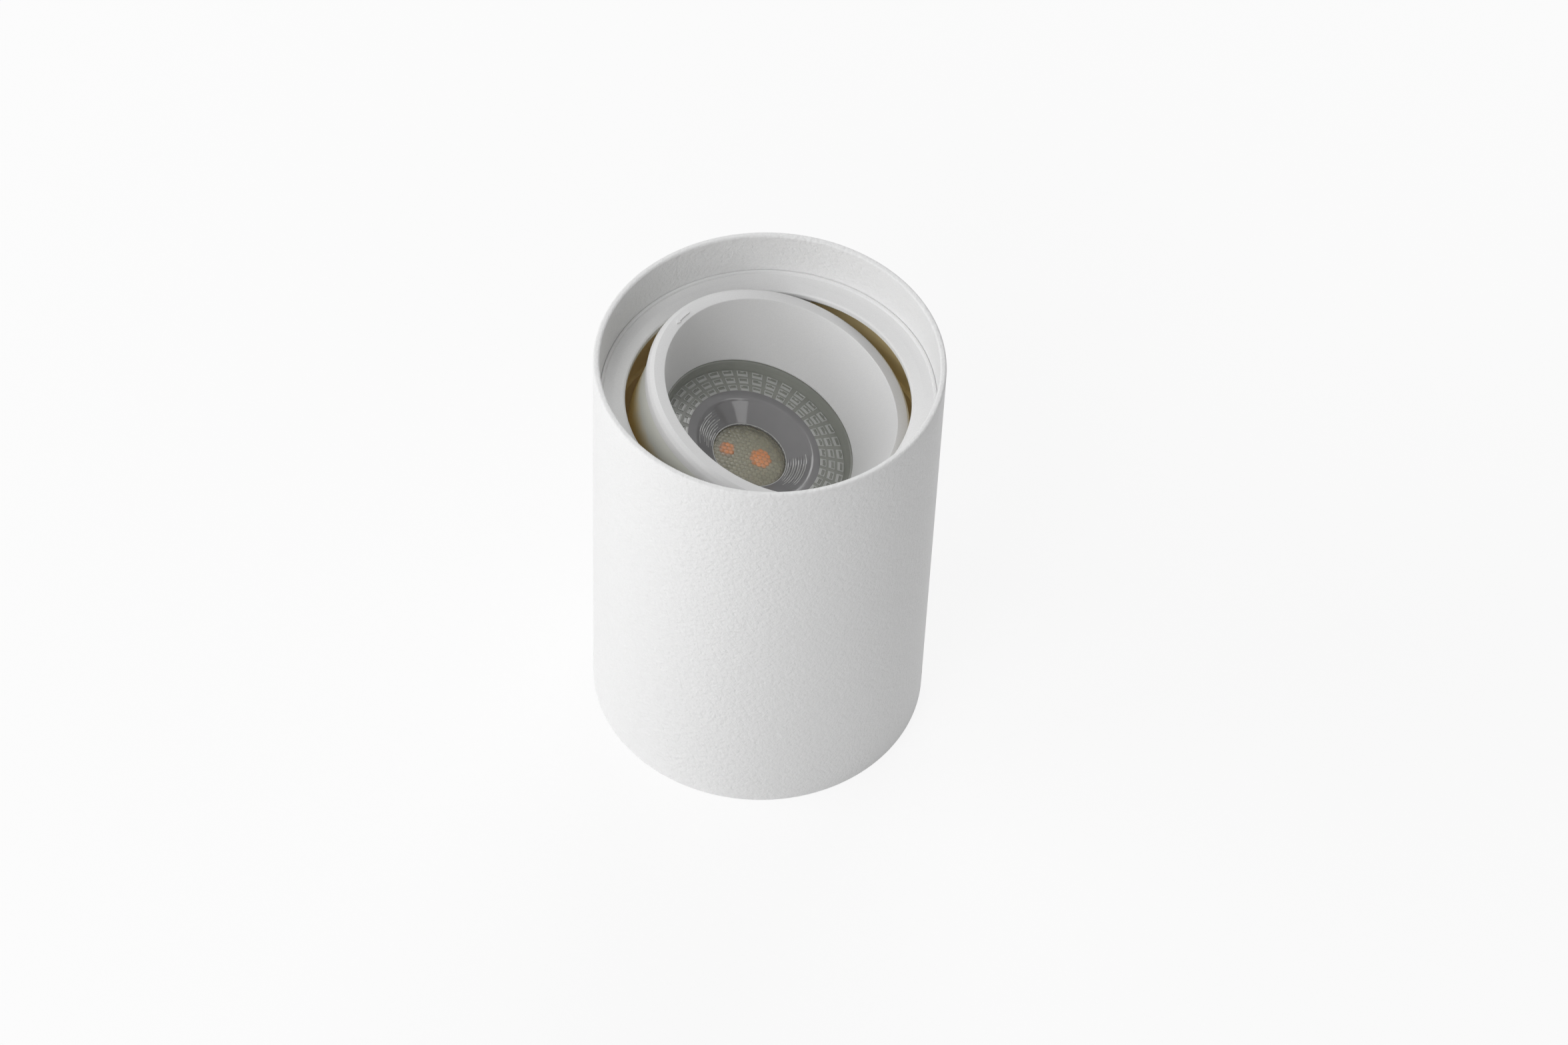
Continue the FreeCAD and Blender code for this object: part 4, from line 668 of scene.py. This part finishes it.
class SPOT_OT_trim(bpy.types.Operator):
    """Build the twist-off front ring and baffle with its bayonet slots, and the arrow on its face"""
    bl_idname = "spotlight.trim"
    bl_label = "Trim and arrow"

    def execute(self, context):
        # The skirt's outer and inner rows face each other, so that the bayonet slots can be cut through it. A slot
        # is an entry from below and a level run, each slot_half wide to either side of its middle line.
        skirt_out, skirt_in, entry, slot_half = 31.3, 30.2, -20.0, 2.7
        heights = np.array([-3.0, -0.95, 1.95, 3.9])
        front = rounded([
            (skirt_out, 0.0), (skirt_out, SEAM + 0.1), (33.3, SEAM + 0.1, 0.3), (33.7, 8.7, 1.6), (33.35, 9.9, 1.0),
            (32.45, FACE, 0.1), (29.75, FACE, 0.28), (24.7, THROAT, 0.1), (24.7, THROAT - 0.4),
            (25.95, THROAT - 0.4), (29.7, SEAM + 0.55), (skirt_in, SEAM + 0.55), (skirt_in, 0.0)], steps=8)[2:-1]
        profile = np.concatenate([
            np.stack([np.full(4, skirt_out), heights], -1), front, np.stack([np.full(4, skirt_in), heights[::-1]], -1)])
        marks = np.array([mark + third for third in (0, 120, 240) for mark in (entry, 0)])
        lines = np.radians(np.concatenate([marks - slot_half, marks + slot_half])) % (2 * math.pi)
        base = full_turn(240)
        far = np.abs(np.angle(np.exp(1j * (base[:, None] - lines)))).min(1) > math.radians(0.5)
        angles = np.unique(np.concatenate([base[far], lines]))
        middle = angles + (np.roll(angles, -1) - angles) % (2 * math.pi) / 2
        around = (np.degrees(middle) + 60) % 120 - 60
        level = (around > entry - slot_half) & (around < slot_half)
        keep = np.ones((len(profile), len(angles)), bool)
        keep[[0, -2, -1]] = ~(level & (around < entry + slot_half))
        keep[[1, -3]] = ~level
        shell = to_head(lathe(profile, angles)), cut_through(keep, len(heights))
        piece("trim_and_baffle", shell, "trim", ["trim_ring"], ["ring_coat"])

        # The arrow: point (s, w) lies at its middle radius + w times the half width at s, and s turns it from its
        # tail's bearing to its tip's. It starts a little inside the face.
        middle, tail, tip, inside = 31.0, 147, 157, -0.05
        top = context.scene.spotlight_sizes.arrow_height / MM
        share = np.array([0.0, 0.25, 0.5, 0.8, 0.8, 0.87, 0.94, 1.0])[:, None]
        half_width = np.array([0.19, 0.19, 0.19, 0.19, 0.62, 0.42, 0.22, 0.02])[:, None]
        turn = np.radians(tail + (tip - tail) * share)
        w, lift = np.array([(-1.0, inside), (-0.8, top), (0.8, top), (1.0, inside)]).T
        radius = middle + half_width * w
        arrow = np.stack([radius * np.cos(turn), radius * np.sin(turn), FACE + lift + 0 * radius], -1)
        ends = np.arange(radius.size).reshape(radius.shape)[[0, -1]]
        shell = to_head(arrow), np.concatenate([quads(*radius.shape, wrap_rows=False), ends])
        piece("turning_arrow", shell, "trim", [], ["ring_coat"])
        return {"FINISHED"}


class SPOT_OT_lamp(bpy.types.Operator):
    """Build the reflector lamp's housing, its lens with prism rows and eye, and the light chips"""
    bl_idname = "spotlight.lamp"
    bl_label = "Reflector lamp"

    def execute(self, context):
        sizes = context.scene.spotlight_sizes
        back, neck, seat, well = LAMP_FRONT - 38.4, LAMP_FRONT - 34.5, LENS_FRONT - 1.9, BOARD_FRONT - 1.2
        profile = divided(rounded([
            (0.0, back), (13.0, back, 0.4), (13.0, neck, 1.0), (18.2, LAMP_FRONT - 24.0, 3.0),
            (25.0, LAMP_FRONT - 5.4, 1.0), (25.0, LAMP_FRONT - 1.1, 0.2), (24.0, LAMP_FRONT - 1.1, 0.1), (24.0, seat),
            (21.1, seat), (21.1, well), (0.0, well)])[:-1], 4.0)
        points, faces = turned(np.concatenate([profile, [(0.0, well)]]), 160, closed=False)
        piece("lamp_housing", (to_head(points), faces), "head", ["lamp_body"], ["plastic"])
        self.lens(sizes)
        self.eye(sizes)

        # Under the eye, a shallow grey dish that the two light chips stand in. Each chip is a flat round body
        # with a low dome of phosphor.
        rim, dish, under = EYE_FRONT - 0.4, EYE_FRONT - 2.3, EYE_FRONT - 2.9
        points, faces = turned(rounded([
            (0.0, dish), (8.2, dish, 1.0), (9.6, rim), (10.1, rim), (9.0, under, 1.0), (0.0, under)]), 96, closed=False)
        piece("chip_cup", (to_head(points), faces), "head", [], ["chamber"])
        chips = []
        for x, wide in ((-5.3, 1.8), (3.2, 2.6)):
            points, faces = turned(rounded([
                (0.0, BOARD_FRONT), (wide, BOARD_FRONT), (wide, EYE_FRONT - 1.75, 0.35), (0.0, EYE_FRONT - 1.7)]),
                48, closed=False)
            chips.append((points + [x, 1.4, 0.0], faces))
        points, faces = joined(chips)
        piece("light_chips", (to_head(points), faces), "head", ["led_chips"], ["phosphor"])
        return {"FINISHED"}

    def lens(self, sizes):
        """The lens. Its height is the flat face, less a ramp inside each prism pocket with a raised lip round it,
        less the dished cone inside the step, whose fine rings stand out most to the eye's left and right."""
        # Shares of a pocket's pitch where its lip and its floor begin and end, each wall with a point either side.
        share = np.array([0, 0.145, 0.16, 0.205, 0.23, 0.4, 0.6, 0.77, 0.795, 0.84, 0.855])
        count = sizes.prism_count
        angles = ((np.arange(count)[:, None] + share) * 2 * math.pi / count).ravel()
        lip = np.tile((share > 0.15) & (share < 0.85), count)
        floor = np.tile((share > 0.22) & (share < 0.78), count)
        # A row is its radius and height, then how much of the lip and of the pocket's depth it has.
        rim, lap, low = LAMP_FRONT - 1.0, LAMP_FRONT - 0.1, EYE_FRONT + 0.7
        rows = [(23.9, LENS_FRONT - 1.8), (23.9, rim), (24.95, rim), (24.95, lap), (24.85, LAMP_FRONT), (24.3, lap),
                (23.7, LAMP_FRONT - 1.6), (LENS_BORDER + 0.05, LENS_FRONT)]
        pocket = [(0.81, 0, 0), (0.78, 1, 0), (0.64, 1, 0), (0.57, 1, 1.0), (-0.05, 1, 0.8), (-0.12, 1, 0.3),
                  (-0.52, 1, 0.2), (-0.60, 1, 0), (-0.78, 1, 0), (-0.81, 0, 0)]
        rows += [(middle + out, LENS_FRONT, *rest) for middle in PRISM_ROWS for out, *rest in pocket]
        rows += [(15.4, LENS_FRONT), (15.0, LENS_FRONT - 0.06), (14.7, LENS_FRONT - 0.22)]
        slope = CONE_DEPTH / (CONE_RADIUS - EYE_RADIUS)
        rows += [(r, LENS_FRONT - 0.5 - (CONE_RADIUS - r) * slope)
                 for r in np.linspace(CONE_RADIUS, EYE_RADIUS + 0.5, 56)]
        rows += [(EYE_RADIUS + 0.38, low), (EYE_RADIUS + 0.18, low), (EYE_RADIUS + 0.1, low - 0.1)]
        rows += [(EYE_RADIUS + 0.08, EYE_FRONT - 1.8), (15.0, LENS_FRONT - 2.1)]
        r, h, raised, sunk = np.array([(*row, 0, 0)[:4] for row in rows]).T[..., None]
        ringed = (r < RING_RADIUS) & (r > EYE_RADIUS + 0.55) & (h > EYE_FRONT - 0.5)
        rings = np.where(ringed, RING_HEIGHT * np.cos(2 * math.pi * r / RING_PITCH), 0)
        sides = np.clip(np.cos(2 * (angles + RING_LEAN)) * 2.6 - 1.6, 0, 1)
        points = lathe(np.concatenate([r, h], 1), angles)
        points[..., 2] += raised * lip * LIP_HEIGHT - sunk * floor * (sizes.prism_depth / MM + LIP_HEIGHT)
        points[..., 2] += rings * sides
        shell = to_head(points), quads(*points.shape[:2])
        lens = piece("lens_outer", shell, "head", ["lamp_lens"], ["lens", "lens_lip_highlight", "lens_band"], 28)
        # Painted highlights: the pockets' lips, the eye's lip and short arcs on the crests of the fine rings are
        # painted pale, and the rest of the lens's flat border has the band's finish.
        x, y, height = from_head(read(lens.polygons, "center")).T
        radius, bearing = np.hypot(x, y), np.arctan2(y, x) + RING_LEAN
        crest = np.round(radius / RING_PITCH)
        arc = np.cos(2 * bearing + 0.3 * np.sin(3 * crest)) > 0.78 + 0.14 * np.sin(5 * crest)
        arc &= (np.abs(radius / RING_PITCH - crest) < 0.17) & (height > EYE_FRONT - 0.5)
        arc &= (radius > EYE_RADIUS + 0.6) & (radius < RING_RADIUS - 0.1)
        lips = (height > LENS_FRONT + 0.03) & (radius < LENS_BORDER) & (radius > 16)
        lips |= (height > low - 0.05) & (radius < EYE_RADIUS + 0.38)
        paint(lens, np.where(arc | lips, 1, np.where(radius > BAND_RADIUS, 2, 0)))

    def eye(self, sizes):
        """The eye: a shallow dome with a honeycomb of pillows that meet in creases."""
        columns, pitch = 288, sizes.pillow_pitch / MM
        back, edge = EYE_FRONT - 1.6, EYE_FRONT + 0.3
        around = lathe(np.array([
            (0.0, back), (EYE_RADIUS - 0.5, back), (EYE_RADIUS, back + 0.2), (EYE_RADIUS, edge),
            (EYE_RADIUS - 0.12, edge + 0.08)]), full_turn(columns))
        r = np.linspace(EYE_RADIUS - 0.15, 0, 84)[:, None]
        x, y = r * np.cos(full_turn(columns)), r * np.sin(full_turn(columns))
        top = EYE_FRONT + 0.2 + EYE_RISE * (1 - (r / EYE_RADIUS) ** 2) + sizes.pillow_height / MM * pillows(x, y, pitch)
        points = np.concatenate([around, np.stack([x, y, top], -1)])
        shell = to_head(points), quads(len(points), columns, wrap_rows=False)
        eye = piece("lens_eye", shell, "head", ["lamp_lens"], ["eye"])
        x, y, _ = from_head(read(eye.vertices, "co")).T
        heights = eye.attributes.new("pillow", "FLOAT", "POINT").data
        heights.foreach_set("value", pillows(x, y, pitch).astype(np.float32))


class SPOT_OT_leads(bpy.types.Operator):
    """Build the two lamp leads, which run over both joints from the head to the block, and the earth lead"""
    bl_idname = "spotlight.leads"
    bl_label = "Leads"

    def execute(self, context):
        # Each lead runs from the socket down the swivel's axis and along the plate to the block, in millimetres.
        clamp = 11.95
        for name, side, row, finish in (("live", 1, 0.0, "brown"), ("neutral", -1, -8.5, "blue")):
            inside, run = (to_head(np.array([0, 4.0 * side, h])) for h in (-67.05, -80.05))
            near = 1.3 * side
            swept = np.array([-20.5, 3.6 * side, 17.2])
            corner, foot = np.array([0, near, 18.0]), np.array([0, near, WIRE_HEIGHT])
            middle, end = (corner + foot) / 2, np.array([clamp, row, WIRE_HEIGHT])
            upper = [inside, (inside + run) / 2, run, swept, (swept + corner) / 2, corner, (corner * 2 + foot) / 3,
                     middle]
            lower = [middle, (corner + foot * 2) / 3, foot, end]
            if row:
                lower.insert(3, np.array([7.0, row, WIRE_HEIGHT]))
            node, slot = f"{name}_lead", f"{name}_insulation"
            thing = self.lead(f"{name}_lead_to_head", upper, finish, node, slot)
            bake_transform(thing)
            thing = self.lead(f"{name}_lead_to_block", lower, finish, node, slot)
            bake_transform(thing)
        points = [(-8.7, 13.0, 3.3), (-2.7, 13.0, 3.3), (3.0, 11.0, WIRE_HEIGHT), (clamp, 8.5, WIRE_HEIGHT)]
        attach(self.lead("earth_wire", points, "earth", "earth_lead", "earth_insulation"), "housing")
        return {"FINISHED"}

    def lead(self, name, points, finish, node, slot):
        """A tube of one millimetre radius along one smooth spline with these points as its control points."""
        curve = bpy.data.curves.new(name, "CURVE")
        curve.dimensions = "3D"
        spline = curve.splines.new("NURBS")
        spline.points.add(len(points) - 1)
        weighted = np.concatenate([np.array(points) * MM, np.ones((len(points), 1))], 1)
        spline.points.foreach_set("co", weighted.astype(np.float32).ravel())
        spline.order_u = 4
        spline.use_endpoint_u = True
        spline.resolution_u = 16
        curve.bevel_depth = 1.0 * MM
        curve.bevel_resolution = 4
        curve.use_fill_caps = True
        guide = bpy.data.objects.new(name + "_line", curve)
        bpy.context.scene.collection.objects.link(guide)
        bpy.context.view_layer.update()
        mesh = bpy.data.meshes.new_from_object(guide.evaluated_get(bpy.context.evaluated_depsgraph_get()))
        bpy.data.objects.remove(guide)
        mesh.name = name
        mesh.materials.clear()
        mesh.materials.append(finishes()[finish])
        mesh.shade_smooth()
        thing = bpy.data.objects.new(name, mesh)
        bpy.context.scene.collection.objects.link(thing)
        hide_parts(node)
        return thing


# Name, place, height of the point aimed at on the axis, width and power of each light, in metres and watts.
LIGHTS = (
    ("key_light", (-1.2, -0.25, 0.55), 0.08, 0.8, 6.6),
    ("front_light", (-0.3, -1.3, 0.7), 0.08, 0.8, 3.2),
    ("high_light", (-0.5, -0.8, 1.15), 0.08, 0.6, 4.7),
    ("back_light", (0.1, 1.1, 1.0), 0.1, 0.8, 6.2),
    ("window_light", (1.03, -0.16, 0.66), 0.08, 0.7, 2.4),
)
# The camera's place in metres, its direction, and the sine of its roll, all as found from the photograph.
CAMERA_PLACE = (0.0626, -0.7644, 0.9795)
CAMERA_FORWARD = np.array([-0.0480, 0.6386, -0.7681])
CAMERA_ROLL = 0.04566


class SPOT_OT_stage(bpy.types.Operator):
    """Set up the pale floor, soft lights, white background and camera"""
    bl_idname = "spotlight.stage"
    bl_label = "Studio"

    def execute(self, context):
        scene = context.scene
        scene.view_settings.view_transform = "Standard"
        # The floor, in metres, lies just under the part's lowest face.
        mesh = bpy.data.meshes.new("floor")
        reach, level = 6.0, -0.1 * MM
        square = ((-1, -1), (1, -1), (1, 1), (-1, 1))
        mesh.from_pydata([(x * reach, y * reach, level) for x, y in square], [], [(0, 1, 2, 3)])
        mesh.materials.append(studio_floor())
        floor = bpy.data.objects.new("floor", mesh)
        scene.collection.objects.link(floor)
        floor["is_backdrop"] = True

        scene.world = bpy.data.worlds.new("studio")
        scene.world.use_nodes = True
        tree = scene.world.node_tree
        tree.nodes.clear()
        fill, white = (add(tree, "ShaderNodeBackground", Color=(1, 1, 1, 1), Strength=power).outputs[0]
                       for power in (0.26, 1.0))
        mix = add(tree, "ShaderNodeMixShader", {0: seen_directly(tree), 1: fill, 2: white}).outputs[0]
        add(tree, "ShaderNodeOutputWorld", {"Surface": mix})

        for name, place, aim, size, power in LIGHTS:
            lamp = bpy.data.lights.new(name, "AREA")
            lamp.size = size
            lamp.energy = power
            thing = bpy.data.objects.new(name, lamp)
            scene.collection.objects.link(thing)
            # The window gives no diffuse light and shows only in reflections.
            thing.visible_diffuse = name != "window_light"
            thing.matrix_world = facing(place, np.array([0, 0, aim]) - place, [0.0, 0.0, 1.0])

        camera = bpy.data.objects.new("camera", bpy.data.cameras.new("camera"))
        scene.collection.objects.link(camera)
        camera.data.sensor_width = 36.0
        camera.data.lens = 110.14
        camera.data.clip_end = 50.0
        beside = np.cross(CAMERA_FORWARD, [0, 0, 1.0])
        beside /= np.linalg.norm(beside)
        raised = np.cross(beside, CAMERA_FORWARD / np.linalg.norm(CAMERA_FORWARD))
        right = math.sqrt(1 - CAMERA_ROLL ** 2) * beside + CAMERA_ROLL * raised
        camera.matrix_world = facing(CAMERA_PLACE, CAMERA_FORWARD, np.cross(right, CAMERA_FORWARD))
        scene.camera = camera
        return {"FINISHED"}


def facing(place, forward, up):
    """The placement of a lamp or camera that looks along forward with up above it."""
    forward = forward / np.linalg.norm(forward)
    right = np.cross(forward, up)
    right /= np.linalg.norm(right)
    rows = np.eye(4)
    rows[:3] = np.stack([right, np.cross(right, forward), -forward, place], -1)
    return Matrix(rows.tolist())


STEPS = (SPOT_OT_finish_metalwork, SPOT_OT_tube, SPOT_OT_cable_bush, SPOT_OT_swivel_ring, SPOT_OT_lamp_can,
         SPOT_OT_trim, SPOT_OT_lamp, SPOT_OT_leads, SPOT_OT_stage)


class SPOT_PT_panel(bpy.types.Panel):
    """Lists the sizes, colours and steps"""
    bl_idname = "SPOT_PT_panel"
    bl_label = "Ceiling spotlight"
    bl_space_type = "VIEW_3D"
    bl_region_type = "UI"
    bl_category = "Spotlight"

    def draw(self, context):
        for group in (context.scene.spotlight_sizes, context.scene.spotlight_colours):
            for name in group.__annotations__:
                self.layout.prop(group, name)
        for step in STEPS:
            self.layout.operator(step.bl_idname)


CLASSES = (SpotlightSizes, SpotlightColours, *STEPS, SPOT_PT_panel)


def register():
    for cls in CLASSES:
        bpy.utils.register_class(cls)
    bpy.types.Scene.spotlight_sizes = PointerProperty(type=SpotlightSizes)
    bpy.types.Scene.spotlight_colours = PointerProperty(type=SpotlightColours)


def unregister():
    del bpy.types.Scene.spotlight_colours
    del bpy.types.Scene.spotlight_sizes
    for cls in reversed(CLASSES):
        bpy.utils.unregister_class(cls)


def corners():
    return [list(corner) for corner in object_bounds()]


def main():
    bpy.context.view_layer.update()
    register()
    for step in STEPS:
        area, name = step.bl_idname.split(".")
        getattr(getattr(bpy.ops, area), name)()


if __name__ == "__main__":
    main()
